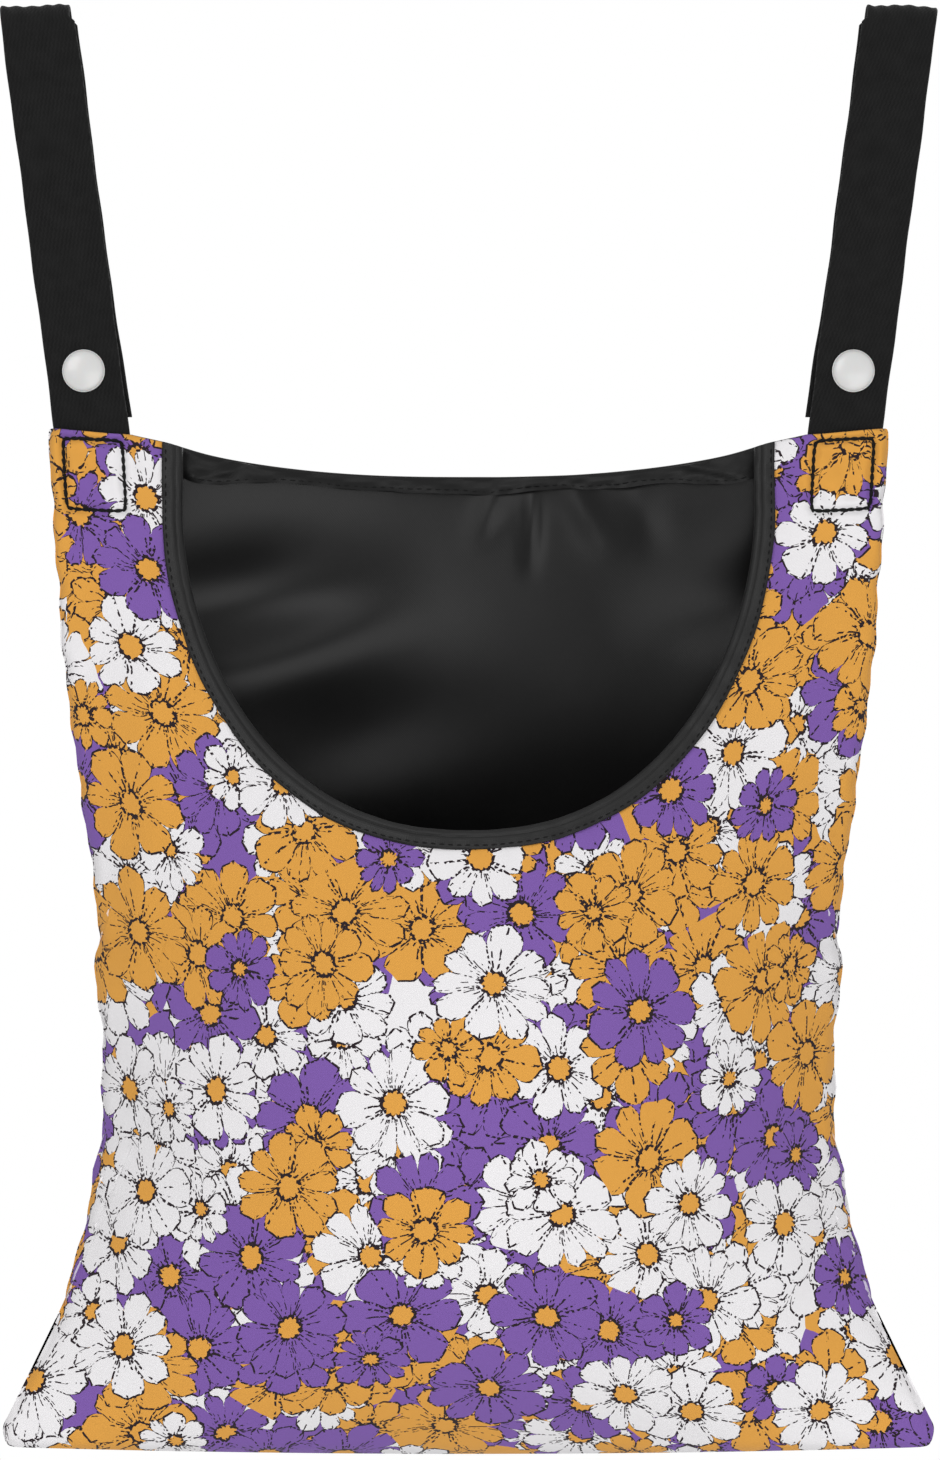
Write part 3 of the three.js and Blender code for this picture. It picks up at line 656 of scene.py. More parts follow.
# %% Drag lines and puckers
# each row: start x, z and end x, z of a drag line, its width and its height, in mm
FRONT_FOLDS = [
    (-113, -168, -96, -300, 8, 1.5), (114, -166, 99, -285, 8, 1.3),
    (-117, -335, -62, -395, 9, 1.9), (118, -342, 66, -388, 9, 1.7),
    (-121, -372, -84, -446, 8, 1.7), (122, -376, 88, -440, 8, 1.5),
    (-141, -452, -52, -428, 9, 1.8), (141, -452, 60, -431, 9, 1.6),
    (-34, -284, -46, -352, 10, 1.1), (30, -284, 44, -340, 10, 1.0),
    (-8, -400, 10, -462, 11, 1.1), (-104, -250, -112, -330, 7, 1.2),
]
BACK_FOLDS = [
    (-146, -206, -10, -176, 18, 10.0), (-124, -232, 10, -192, 12, -3.4),
    (-90, -256, 30, -216, 15, 2.6), (44, -204, 142, -178, 16, 6.0),
    (92, -166, 56, -272, 16, -1.5), (22, -143, 20, -190, 2.8, -2.2),
    (29, -143, 48, -184, 5, 2.0), (15, -143, 0, -180, 4.5, 1.8), (50, -143, 64, -184, 6, -1.4),
    (-117, -340, -52, -396, 9, 3.4), (118, -345, 58, -394, 9, 3.2),
    (-138, -450, -46, -424, 8, 3.0), (138, -450, 50, -427, 8, 3.1),
    (-60, -296, -38, -404, 12, 3.2), (50, -298, 34, -394, 12, 3.0),
    (-113, -286, -66, -334, 8, 2.8), (113, -294, 70, -340, 8, 2.6),
    (-12, -418, 6, -468, 11, 2.2), (2, -270, -10, -350, 14, -2.2),
]


def drag_lines(rows, x, z):
    """Sum of ridges: each is a bell curve across its line, times a squared sine along it."""
    total = np.zeros_like(x)
    for x0, z0, x1, z1, width, height in rows:
        run = np.hypot(x1 - x0, z1 - z0)
        along = ((x - x0) * (x1 - x0) + (z - z0) * (z1 - z0)) / run ** 2
        aside = ((x - x0) * (z1 - z0) - (z - z0) * (x1 - x0)) / run
        hump = np.sin(np.pi * np.clip(along, 0, 1)) ** 2
        total = total + height * hump * bell(aside, width)
    return total


# each row: height of a wave, its runs up and across, and its phase
PUCKER_WAVES = [(0.32, 2.0, 3.1, 0), (0.30, 4.3, -2.3, 1)]
PUCKER_REACH, PUCKER_START = 9.0, 4.0


def seam_puckers(x, z):
    """Small waves square to the side and bottom seams, dying out within some 15 mm."""
    inside = seam_distance(x, z)
    return slanting(PUCKER_WAVES, x, z) * np.exp(-inside / PUCKER_REACH) * ease(inside / PUCKER_START)


SCOOP_WIDTH, SCOOP_STRAIGHT, SCOOP_ROUND = 187.0, 26.0, 103.8
SCOOP_SIDE_POWER, SCOOP_FALL_POWER = 0.88, 1.08
SCOOP_CENTRE = BAG_TOP - SCOOP_STRAIGHT
DRAWN_REACH = 7.0           # how far the tape's stitches draw the cloth in


def scoop_puckers(x, z):
    """Small waves across the tape's outer edge, where its stitches draw the cloth in."""
    across = x / (SCOOP_WIDTH / 2)
    down = np.minimum(0, z - SCOOP_CENTRE) / SCOOP_ROUND
    beyond = (np.hypot(across, down) - 1) * SCOOP_WIDTH / 2 - TAPE_WIDTH
    along = np.arctan2(down, across) * SCOOP_WIDTH / 2 + np.maximum(0, z - SCOOP_CENTRE)
    uneven = sine(along, height=1.5, run=11)
    waves = sine(along, height=0.22, run=1.5, phase=uneven) + sine(along, height=0.2, run=3.4)
    return waves * np.exp(-np.maximum(0, beyond) / DRAWN_REACH)


print("drag lines:", len(FRONT_FOLDS), "on the front,", len(BACK_FOLDS), "on the back")

# %% [markdown]
# ## Where the straps are sewn in
# Each strap's tail is held by a box of stitches. The stitches pull the cloth down along their line,
# and the cloth puffs up beside it. Both belong in the panel's shape, so that the thread can lie in its
# own groove.

# %% Stitch boxes and the panels' faces
BOX_WIDTH, BOX_HEIGHT, BOX_DROP, BOX_CORNER = 19.5, 23.2, 2.5, 1.5
BOX_Z = BAG_TOP - BOX_DROP - BOX_HEIGHT / 2
BOX_X = STRAP_FOOT - 1
BOX_LEAN, BOX_SLOPE = 0.06, 0.05
DENT_DEPTH, DENT_REACH = 0.65, 1.0
PUFF_HEIGHT, PUFF_PLACE, PUFF_REACH = 0.4, 2.5, 1.4
CRUMPLE_LIFT, CRUMPLE_REACH, CRUMPLE_START = 0.7, 5.0, 3.0
CRUMPLE_WAVES = [(0.36, 2.9, 1.5, 0), (0.40, 2.0, -3.4, 1)]
FOLD_MARGIN, TAPE_MARGIN = 14.0, 8.0    # folds and the tape's puckers fade out this near to a seam


def box_offset(x, z):
    """Signed distance to the nearer box of stitches, a rounded rectangle, sheared: negative inside."""
    in_x = np.abs(x) - BOX_X - BOX_LEAN * (z - BOX_Z)
    in_z = z - BOX_Z - BOX_SLOPE * (np.abs(x) - BOX_X)
    out_x = np.abs(in_x) - BOX_WIDTH / 2 + BOX_CORNER
    out_z = np.abs(in_z) - BOX_HEIGHT / 2 + BOX_CORNER
    outside = np.hypot(np.maximum(out_x, 0), np.maximum(out_z, 0))
    return outside + np.minimum(np.maximum(out_x, out_z), 0) - BOX_CORNER


def box_groove(x, z):
    """The dent along a box of stitches, a puff of cloth on each side of it, and crumples around it."""
    offset = box_offset(x, z)
    away = np.abs(offset)
    near = bell(np.maximum(0, offset), CRUMPLE_REACH) * ease(away / CRUMPLE_START)
    crumple = CRUMPLE_LIFT + slanting(CRUMPLE_WAVES, x, z)
    puff = PUFF_HEIGHT * bell(away - PUFF_PLACE, PUFF_REACH)
    return puff - DENT_DEPTH * bell(away, DENT_REACH) + crumple * near


def panel_face(side, x, z):
    """Y of a panel's outer face: rolled seam, then belly, mouth, folds, puckers and stitch dents."""
    share = height_share(x, z)
    across = x / half_width(share * BAG_HEIGHT)
    inside = seam_distance(x, z)
    profile = (share / BELLY_PEAK) ** BELLY_LOW * ((1 - share) / (1 - BELLY_PEAK)) ** BELLY_HIGH
    swell = profile * np.maximum(0, 1 - across ** 2)
    depth, folds = (FRONT_BELLY, FRONT_FOLDS) if side == FRONT else (BACK_BELLY, BACK_FOLDS)
    lift = SEAM_LIFT + (PANEL_LIFT - SEAM_LIFT) * rounded(inside, SEAM_ROLL) + depth * swell
    lift = lift + drag_lines(folds, x, z) * ease(inside / FOLD_MARGIN)
    lift = lift + seam_puckers(x, z) + box_groove(x, z)
    if side == FRONT:
        lift = lift + scoop_puckers(x, z) * ease(inside / TAPE_MARGIN)
    else:
        span = np.minimum(1, np.abs(x) / SAG_SPAN)
        lift = lift + MOUTH_GAPE * share ** MOUTH_POWER * (1 - span ** 2) ** 2
    return SEAM_Y + side * lift


def on_face(side, x, z):
    """Points on a panel's outer face."""
    return np.stack([x, panel_face(side, x, z), z], axis=-1)


def face_normal(side, x, z):
    """Unit vectors out of a panel, from its slopes across and up."""
    step = 0.2
    slope_x = (panel_face(side, x + step, z) - panel_face(side, x - step, z)) / (2 * step)
    slope_z = (panel_face(side, x, z + step) - panel_face(side, x, z - step)) / (2 * step)
    normal = np.stack([-slope_x, np.ones_like(x), -slope_z], axis=-1) * side
    return normal / np.linalg.norm(normal, axis=-1, keepdims=True)


def grid_normal(points):
    """Unit vectors square to a grid of points: the cross product of its two directions."""
    normal = np.cross(np.gradient(points, axis=0), np.gradient(points, axis=1))
    return normal / np.maximum(np.linalg.norm(normal, axis=-1, keepdims=True), TINY)


def run_length(points, axis):
    """Length along one direction of a grid, from its first point."""
    step = np.linalg.norm(np.diff(points, axis=axis), axis=-1)
    start = np.zeros_like(np.take(step, [0], axis=axis))
    return np.concatenate([start, np.cumsum(step, axis=axis)], axis=axis)


print("box of stitches at x", round(BOX_X, 1), "z", round(BOX_Z, 1))

# %% [markdown]
# ## The front panel
# The front is cut with a scoop, so a plain grid would leave a jagged edge. Here one direction of the
# grid runs along the scoop and the outline together, and the other runs from the scoop out to the
# seam. Flat places, for the print, are lengths measured on the cloth itself, so daisies near the
# bottom tuck under with the belly as printed cloth does.

# %% Front panel
FRONT_ROWS, FRONT_COLUMNS = 500, 76
FRONT_THICKNESS = 1.0
STRAIGHT_SHARE, CORNER_SHARE, SHOULDER_SHARE = 0.06, 0.37, 0.08
CUT_MARGIN = 1.8
FOLD_REACH, FOLD_DROP = 2.0, 0.9
CROWDING = 0.75             # rows lie closer at the shoulders, columns at the scoop and the seam
THIN_EDGE = 0.1
FLAT_STEPS = 40


def scoop_curve(t, margin):
    """The scoop's edge, grown by a margin: straight down, round as half of a full ellipse, straight up.

    Powers of the cosine and the sine make the ellipse full at the bottom and slim at the sides.
    """
    half = SCOOP_WIDTH / 2 + margin
    turn = np.pi * np.clip((t - STRAIGHT_SHARE) / (1 - 2 * STRAIGHT_SHARE), 0, 1)
    rise = np.clip(1 - np.minimum(t, 1 - t) / STRAIGHT_SHARE, 0, 1)
    side = np.sign(np.cos(turn)) * np.abs(np.cos(turn)) ** SCOOP_SIDE_POWER
    z = SCOOP_CENTRE - (SCOOP_ROUND + margin) * np.abs(np.sin(turn)) ** SCOOP_FALL_POWER
    return -half * side, z + rise * (top_edge(half) - SCOOP_CENTRE)


def outline_curve(t):
    """The outline from the left shoulder: down the side, along the bottom, up to the right shoulder."""
    share = np.clip(1 - np.minimum(t, 1 - t) / CORNER_SHARE, 0, 1)
    along = np.clip((t - CORNER_SHARE) / (1 - 2 * CORNER_SHARE), 0, 1)
    return on_outline(2 * along - 1, share)


def flat_places(side, x, z):
    """Lengths on the cloth: across from the middle at one height, down from the top at one place."""
    steps = np.linspace(0, 1, FLAT_STEPS)
    shape = x.shape + steps.shape
    across = on_face(side, x[..., None] * steps, np.broadcast_to(z[..., None], shape))
    top = top_edge(x)[..., None]
    down = on_face(side, np.broadcast_to(x[..., None], shape), top + (z[..., None] - top) * steps)
    wide, tall = (np.linalg.norm(np.diff(line, axis=-2), axis=-1).sum(axis=-1)
                  for line in (across, down))
    return np.stack([np.sign(x) * wide, -tall], axis=-1)


t = crowded(FRONT_ROWS, CROWDING)[:, None]
r = crowded(FRONT_COLUMNS, CROWDING)[None, :]
cut_x, cut_z = scoop_curve(t, CUT_MARGIN)
rim_x, rim_z = outline_curve(t)
x = cut_x + (rim_x - cut_x) * r
z = cut_z + (rim_z - cut_z) * r
over = np.minimum(top_edge(x), top_edge(rim_x[:1])) - z
z = z + np.where(t < 0.5, over[:1], over[-1:]) * (1 - ease(np.minimum(t, 1 - t) / SHOULDER_SHARE))
below_top = np.maximum(0, top_edge(x) - z)
outer = on_face(FRONT, x, z)
outer[..., 1] += FOLD_DROP * (1 - rounded(below_top, FOLD_REACH))
edge = np.minimum(rounded(below_top, FOLD_REACH), rounded(seam_distance(x, z), FOLD_REACH))
normal = grid_normal(outer)
normal = normal * -np.sign(normal[..., 1:2])
inner = outer - normal * (FRONT_THICKNESS * np.maximum(edge, THIN_EDGE))[..., None]
points, faces, places = sheet_mesh(outer, inner, flat_places(FRONT, x, z))
front_cloth = new_piece("front_cloth", points, faces, places, printed_polyester)
mark_side(front_cloth, "reverse", FRONT_ROWS, FRONT_COLUMNS, inner=1)
print("front cloth, laid flat:", np.round(np.ptp(places, axis=0)), "mm")

# %% [markdown]
# ## The back panel
# The back is one piece of satin whose top edge is turned in and stitched down as a hem. The grid goes
# up the panel, round the fold and down again behind the hem's stitches, so the fold is real cloth and
# the hem needs no piece of its own.

# %% Back panel with its hem
BACK_ROWS, BACK_COLUMNS, FOLD_ROWS, HEM_ROWS = 170, 190, 9, 10
BACK_CROWDING, SIDE_PULL = 0.7, 0.10    # rows lie closer at top and bottom, columns at the sides
BACK_THICKNESS, BACK_EDGE, BACK_THIN = 0.5, 1.0, 0.2
HEM_DEPTH, HEM_SPAN, HEM_FADE = 4.4, 96.0, 8.0
# each row: place and reach of a change in the hem's depth across the mouth, and how deep it is
HEM_CHANGES = [(-53, 14, -0.6), (30, 9, -0.9), (6, 12, 0.5)]
ENDS_DEPTH, ENDS_START, ENDS_RUN = 5.0, 60.0, 33.0
HEM_FLARE, HEM_PUFF, CRUMPLE_DROP = 1.2, 0.35, 2.0
SLIM_FOLD, FULL_FOLD, FOLD_UNEVEN = 0.36, 0.42, 0.7
TWIST_DROP, TWIST_SLOPE, TWIST_END = 9.0, 0.45, 93.0
TWIST_HEIGHT, TWIST_REACH, TWIST_START, TWIST_RUN = 1.0, 1.1, 66.0, 8.0
CREST_EASE = 8.0            # over this height the panel makes room for the fold
FAR = 9.0                   # how far the fold and the hem count as being from a seam


def mouth_share(x):
    """1 across the mouth, easing to 0 at the hem's two ends."""
    return ease((HEM_SPAN - np.abs(x)) / HEM_FADE)


def fold_radius(x):
    """Radius of the fold at the top: slim by the straps, fuller and uneven across the mouth."""
    waves = (sine(x, height=0.14, run=3.7) + sine(x, height=0.16, run=8.3, phase=2)
             + sine(x, height=0.1, run=1.9))
    return SLIM_FOLD + mouth_share(x) * (FULL_FOLD + FOLD_UNEVEN * waves)


def hem_depth(x):
    """How far the hem reaches down inside: narrow and uneven across the mouth, deep at its two ends."""
    changes = sum(deep * bell(x - place, reach) for place, reach, deep in HEM_CHANGES)
    return HEM_DEPTH + changes + ENDS_DEPTH * ease((np.abs(x) - ENDS_START) / ENDS_RUN)


def hem_offset(x, share):
    """How far the hem stands in from the panel: twice the fold's radius, more at its free edge."""
    return 2 * fold_radius(x) + HEM_FLARE * (fold_radius(x) - SLIM_FOLD) * share ** 2


def hem_twist(x, drop):
    """Ridges aslant over the hem's ends, where the turned cloth is twisted, and small crumples."""
    line = TWIST_DROP - TWIST_SLOPE * (TWIST_END - np.abs(x))
    ridge = TWIST_HEIGHT * bell(drop - line, TWIST_REACH) * ease((np.abs(x) - TWIST_START) / TWIST_RUN)
    crumple = (sine(x, height=0.22, run=2.3, phase=1.2 * drop)
               + sine(x, height=0.3, run=5.3, phase=np.sin(x / 13) - 0.8 * drop))
    return mouth_share(x) * (ridge + HEM_PUFF + crumple * ease(drop / CRUMPLE_DROP))


across = np.linspace(-1, 1, BACK_COLUMNS)[None, :]
across = across + SIDE_PULL * np.sin(np.pi * across)
x, z = on_outline(across, crowded(BACK_ROWS, BACK_CROWDING)[:, None])
panel = on_face(BACK, x, z)
panel[..., 1] -= BACK_THICKNESS / 2
crest = panel[-1:]
radius = fold_radius(crest[..., 0])[..., None]
turn = np.linspace(0, np.pi, FOLD_ROWS + 2)[1:-1, None, None]
fold = crest + radius * np.concatenate([0 * turn, np.cos(turn) - 1, np.sin(turn)], axis=-1)
share = np.linspace(0, 1, HEM_ROWS)[:, None]
drop = share * hem_depth(crest[..., 0])
hem_x = np.broadcast_to(crest[..., 0], drop.shape)
hem_z = crest[..., 2] - drop
hem_y = panel_face(BACK, hem_x, hem_z) - BACK_THICKNESS / 2
hem_y = hem_y - hem_offset(hem_x, share) - hem_twist(hem_x, drop)
hem = np.stack([hem_x, hem_y, hem_z], axis=-1)
middle = np.concatenate([panel, fold, hem])
turned_in = np.ones((FOLD_ROWS + HEM_ROWS, BACK_COLUMNS))
near_crest = ease((z - top_edge(x) + CREST_EASE) / CREST_EASE)
middle[..., 2] -= np.concatenate([near_crest, turned_in]) * radius[..., 0]
normal = grid_normal(middle)
normal = normal * np.sign(normal[BACK_ROWS // 2, BACK_COLUMNS // 2, 1])
seam = np.concatenate([seam_distance(x, z), FAR * turned_in])
half = BACK_THICKNESS / 2 * np.maximum(rounded(seam, BACK_EDGE), BACK_THIN)[..., None]
wide = run_length(middle, 1)
places = np.stack([wide - wide[:, -1:] / 2, run_length(middle, 0)], axis=-1)
points, faces, places = sheet_mesh(middle + half * normal, middle - half * normal, places)
back_cloth = new_piece("back_cloth", points, faces, places, satin_lining)
# the dull side is rougher, and its colour is painted darker as painted shade
mark_side(back_cloth, "dull_side", len(middle), BACK_COLUMNS, inner=0)
print("back cloth, laid flat:", np.round(np.ptp(places, axis=0)), "mm")

# %% [markdown]
# ## The tape round the scoop
# A strip of bias tape is folded over the cut edge, so its section is a narrow C: a rolled nose, a
# groove where it was creased, then a padded band on each side of the cloth. That section is carried
# along the scoop, square to the cloth, and wavers a little as sewn tape does.

# %% Scoop tape
TAPE_ROWS, TAPE_STEPS, TAPE_CROWDING = 330, 26, 0.6
TAPE_HALF, TAPE_NOSE, TAPE_CREASE, BAND_FALL = 2.1, 2.0, 2.7, 0.65
CREASE_DEPTH, CREASE_REACH, LIP_FALL, LIP_REACH = 0.55, 0.45, 0.35, 0.7
SLOT_HALF, SLOT_END = 0.9, 1.2


def stations(side, x, z, sink):
    """Places sunk into a panel, with unit vectors across their path and out of the panel."""
    normal = face_normal(side, x, z)
    at = on_face(side, x, z) - normal * sink
    along = np.gradient(at, axis=0)
    across = np.cross(along, normal)
    return at, across / np.linalg.norm(across, axis=-1, keepdims=True), normal


def tape_face(a):
    """Height of the tape's face over the cloth's middle at a distance from its nose."""
    nose = TAPE_HALF * rounded(a, TAPE_NOSE)
    crease = CREASE_DEPTH * bell(a - TAPE_CREASE, CREASE_REACH)
    fall = BAND_FALL * np.clip((a - TAPE_CREASE) / (TAPE_WIDTH - TAPE_CREASE), 0, 1) ** 2
    lip = LIP_FALL * (1 - rounded(TAPE_WIDTH - a, LIP_REACH))
    return nose - crease - fall - lip


t = np.linspace(0, 1, TAPE_ROWS)
tape_at, tape_across, tape_normal = stations(FRONT, *scoop_curve(t, 0), FRONT_THICKNESS / 2)
length = run_length(tape_at, 0)[:, None]
a = crowded(TAPE_STEPS, TAPE_CROWDING) * TAPE_WIDTH
rim = tape_face(a)
profile_a = np.concatenate([a[::-1], a[1:]])
profile_n = np.concatenate([rim[::-1], -rim[1:]])
slot_a = np.maximum(profile_a, SLOT_END)
slot_n = np.clip(profile_n, -SLOT_HALF, SLOT_HALF)
waver = sine(length, height=0.10, run=1.7) + sine(length, height=0.12, run=3.9, phase=1)
rise = np.clip(1 - np.minimum(t, 1 - t) / STRAIGHT_SHARE, 0, 1)[:, None]
spread = sine(length, height=0.14, run=5.3) * ease(profile_a / TAPE_WIDTH)
wide, lift = (profile_a + spread)[..., None], (profile_n + waver)[..., None]
outer = tape_at[:, None] + tape_across[:, None] * wide + tape_normal[:, None] * lift
wide, lift = (slot_a + spread)[..., None], (slot_n + waver)[..., None]
inner = tape_at[:, None] + tape_across[:, None] * wide + tape_normal[:, None] * lift
slope = top_edge(SCOOP_WIDTH / 2 + profile_a) - top_edge(SCOOP_WIDTH / 2)
outer[..., 2] += rise * slope
inner[..., 2] += rise * slope
places = np.stack([length + 0 * profile_a, np.sign(profile_n) * profile_a + 0 * length], axis=-1)
points, faces, places = sheet_mesh(outer, inner, places)
scoop_tape = new_piece("scoop_tape", points, faces, places, bias_tape)
print("tape length:", round(float(length[-1, 0])), "mm")

# %% [markdown]
# ## Stitches
# A machine stitch is a short length of thread that comes up out of the cloth, lies on it and dives
# back in. One bar would look like a wire, so each stitch is its own small tube, thick in the middle
# and sunk at its ends. Each has only a few dozen faces, because there are hundreds.

# %% Rows of stitches
STITCH_RINGS, STITCH_SIDES = 7, 6
STITCH_STAND, STITCH_END = 0.4, 0.12    # how far a stitch stands off, and how thin its ends are
TAPE_INSET, HEM_INSET, HEM_STOP, HEM_POINTS = 1.2, 1.3, 4.0, 240


def stitch_rows(paths, pitch, length, radius, sink=1.1):
    """Tubes set along paths: each rises and sinks as half a sine wave, and its girth follows it."""
    share = np.linspace(0, 1, STITCH_RINGS)
    hump = np.sin(np.pi * share)
    turn = np.linspace(0, 2 * np.pi, STITCH_SIDES, endpoint=False)[:, None]
    made = []
    for at, across, normal in paths:
        run = run_length(at, 0)
        count = int(run[-1] // pitch)
        place = (np.arange(count)[:, None] + 0.5) * run[-1] / count + (share - 0.5) * length
        at, across, normal = (np.stack([np.interp(place, run, line[:, k]) for k in range(3)], axis=-1)
                              for line in (at, across, normal))
        at = at + normal * (radius * ((STITCH_STAND + sink) * hump - sink))[:, None]
        girth = (radius * np.maximum(hump, STITCH_END) ** 0.5)[:, None, None]
        round_it = np.cos(turn) * across[:, :, None] + np.sin(turn) * normal[:, :, None]
        made.append(at[:, :, None] + girth * round_it)
    points = np.concatenate(made)
    one = loop_faces(STITCH_RINGS, STITCH_SIDES)
    cap = np.array([[0, 1, 2, 3], [0, 3, 4, 5]])
    one = np.vstack([one, cap[:, ::-1], cap + (STITCH_RINGS - 1) * STITCH_SIDES])
    faces = one[None] + (np.arange(len(points)) * STITCH_RINGS * STITCH_SIDES)[:, None, None]
    around = np.broadcast_to(turn[:, 0] * radius, points.shape[:-1])
    along = np.broadcast_to((share * length)[:, None], points.shape[:-1])
    places = np.stack([along, around], axis=-1)
    return points.reshape(-1, 3), faces.reshape(-1, 4), places.reshape(-1, 2)


line = TAPE_WIDTH - TAPE_INSET
tape_front = tape_at + tape_across * line + tape_normal * (tape_face(line) + waver)
tape_back = tape_at + tape_across * line - tape_normal * (tape_face(line) - waver)
rows = [(tape_front, tape_across, tape_normal), (tape_back, tape_across, -tape_normal)]
stitches = stitch_rows(rows, pitch=2.8, length=2.3, radius=0.26)
tape_stitches = new_piece("tape_stitches", *stitches, spun_thread)

x = np.linspace(-HEM_SPAN + HEM_STOP, HEM_SPAN - HEM_STOP, HEM_POINTS)
drop = hem_depth(x) - HEM_INSET
z = top_edge(x) - drop - fold_radius(x)
hem_at, hem_across, hem_normal = stations(BACK, x, z, 0)
inward = BACK_THICKNESS + hem_offset(x, drop / hem_depth(x)) + hem_twist(x, drop)
hem_inside = hem_at - hem_normal * inward[:, None]
rows = [(hem_inside, hem_across, -hem_normal), (hem_at, hem_across, hem_normal)]
stitches = stitch_rows(rows, pitch=3.0, length=2.4, radius=0.2)
hem_stitches = new_piece("hem_stitches", *stitches, spun_thread)

# %% [markdown]
# ## The boxes of stitches
# Thicker thread goes round a rectangle on both panels, in the groove that was left for it. The stitches
# are longer than their pitch, so that they overlap like cord.

# %% Box stitches
BOX_POINTS, BOX_SQUARE, BOX_TURN, BOX_ROUND = 400, 1.6, 0.4, 0.3


def box_path(side):
    """A box of stitches as a closed line: a rectangle with round corners, sheared as the strap is."""
    turn = np.linspace(0, 2 * np.pi, BOX_POINTS)
    square_x = np.clip(BOX_SQUARE * np.cos(turn), -1, 1)
    square_z = np.clip(BOX_SQUARE * np.sin(turn), -1, 1)
    x = BOX_WIDTH / 2 * square_x
    z = BOX_HEIGHT / 2 * square_z
    in_corner = ease((np.abs(square_x) + np.abs(square_z) - BOX_SQUARE) / BOX_TURN)
    round_off = BOX_CORNER * BOX_ROUND * in_corner
    x, z = x - np.sign(x) * round_off, z - np.sign(z) * round_off
    return side * (BOX_X + x + BOX_LEAN * z), BOX_Z + z + BOX_SLOPE * x


box_stitches = {}
for name, side in SIDES.items():
    rows = [stations(face, *box_path(side), 0) for face in (FRONT, BACK)]
    stitches = stitch_rows(rows, pitch=2.6, length=3.6, radius=0.7, sink=0.25)
    box_stitches[name] = new_piece(f"{name}_box_stitches", *stitches, spun_thread)

# %% [markdown]
# ## Seam allowances
# Inside the bag, front and back are sewn together along the sides and the bottom, and the cut edges
# are overcast so that they don't fray. Each allowance is a strip that lies between the panels. Its free
# edge is scalloped, one scallop for each loop of the overcasting thread.

# %% Seam strips
STRIP_WIDTH, STRIP_HALF, STRIP_INSET = 6.0, 0.85, 3.2
STRIP_STEPS, STRIP_CROWDING, STRIP_ROWS = 14, 0.5, 420
SEWN_ROUND, FREE_ROUND, STRIP_EDGE = 0.1, 0.12, 0.03
LOOP_PITCH, LOOP_REACH, LOOP_RELIEF = 2.6, 0.5, 0.25
LOOP_START, LOOP_RUN = 0.55, 0.2        # shares of the strip's width
SIDE_FROM, SIDE_TO, BOTTOM_TO = 0.035, 0.92, 0.965


def seam_strip(name, x, z, inward_x, inward_z):
    """A strip from a seam line inwards: thick at the seam, its free edge waved by loops of thread."""
    length = run_length(np.stack([x, z], axis=-1), 0)[:, None]
    across = crowded(STRIP_STEPS, STRIP_CROWDING)[None, :]
    loops = np.abs(np.sin(np.pi * length / LOOP_PITCH))
    reach = STRIP_INSET + across * (STRIP_WIDTH + LOOP_REACH * loops)
    ridge = 1 - LOOP_RELIEF * (1 - loops) * ease((across - LOOP_START) / LOOP_RUN)
    ends = np.minimum(rounded(across, SEWN_ROUND), rounded(1 - across, FREE_ROUND))
    half = STRIP_HALF * ends * ridge + STRIP_EDGE
    px, pz = x[:, None] + inward_x * reach, z[:, None] + inward_z * reach
    outer = np.stack([px, SEAM_Y - half, pz], axis=-1)
    inner = np.stack([px, SEAM_Y + half, pz], axis=-1)
    points, faces, places = sheet_mesh(outer, inner, np.stack([length + 0 * reach, reach], axis=-1))
    return new_piece(name, points, faces, places, satin_lining)


share = np.linspace(SIDE_FROM, SIDE_TO, STRIP_ROWS)
seams = {}
for name, side in SIDES.items():
    edge_x, edge_z = on_outline(np.full_like(share, side), share)
    seams[f"{name}_side_seam"] = seam_strip(f"{name}_seam_strip", edge_x, edge_z, -side, 0)
edge_x, edge_z = on_outline(np.linspace(-BOTTOM_TO, BOTTOM_TO, STRIP_ROWS), np.zeros(STRIP_ROWS))
seams["bottom_seam"] = seam_strip("bottom_seam_strip", edge_x, edge_z, 0, 1)

# %% [markdown]
# ## The webbing loops
# Each strap comes up out of the bag, turns over at the top and comes down behind to its snap. It is a
# band carried along that line, thicker at its two woven edges, drawn in and crinkled at the crown and
# pressed in round the snap. It is made as three pieces that meet end to end: the lower piece, the crown
# over the top of the loop, and the flap that comes down behind.

# %% Straps
TAIL_END = BAG_TOP - 25
FLAP_END, FLAP_FLAT = BAG_TOP + 5.2, BAG_TOP + 34
FLAP_Y, FLAP_SOFT = 0.6, 1.25
FLAP_STRAY, STRAY_RUN = 1.1, 60.0
CROWN_REACH, CROWN_RISE, CROWN_TILT = 5.5, 0.7, 0.55
CROWN_WAVE, CROWN_CRINKLE = 0.2, 0.2
NOTCH_DEPTH, NOTCH_START, NOTCH_RUN, NOTCH_SIDE = 0.12, 6.3, 1.4, 1.5
EDGE_TRIM, WAVER_FROM = 0.3, 6.0
WEB_MIDDLE, WEB_EDGE = 0.94, 0.08       # shares of the thickness
SELVEDGE, SELVEDGE_PLACE, SELVEDGE_REACH = 0.10, 1.2, 0.8
SNAP_PRESS, SNAP_REACH = 0.2, 6.5
SNAP_Z = BAG_TOP + 20
SNAP_X = STRAP_FOOT + STRAP_LEAN * (SNAP_Z - BAG_TOP)
EDGE_STEPS, EDGE_CROWDING = 41, 0.55
STRAP_STEP = 1.0


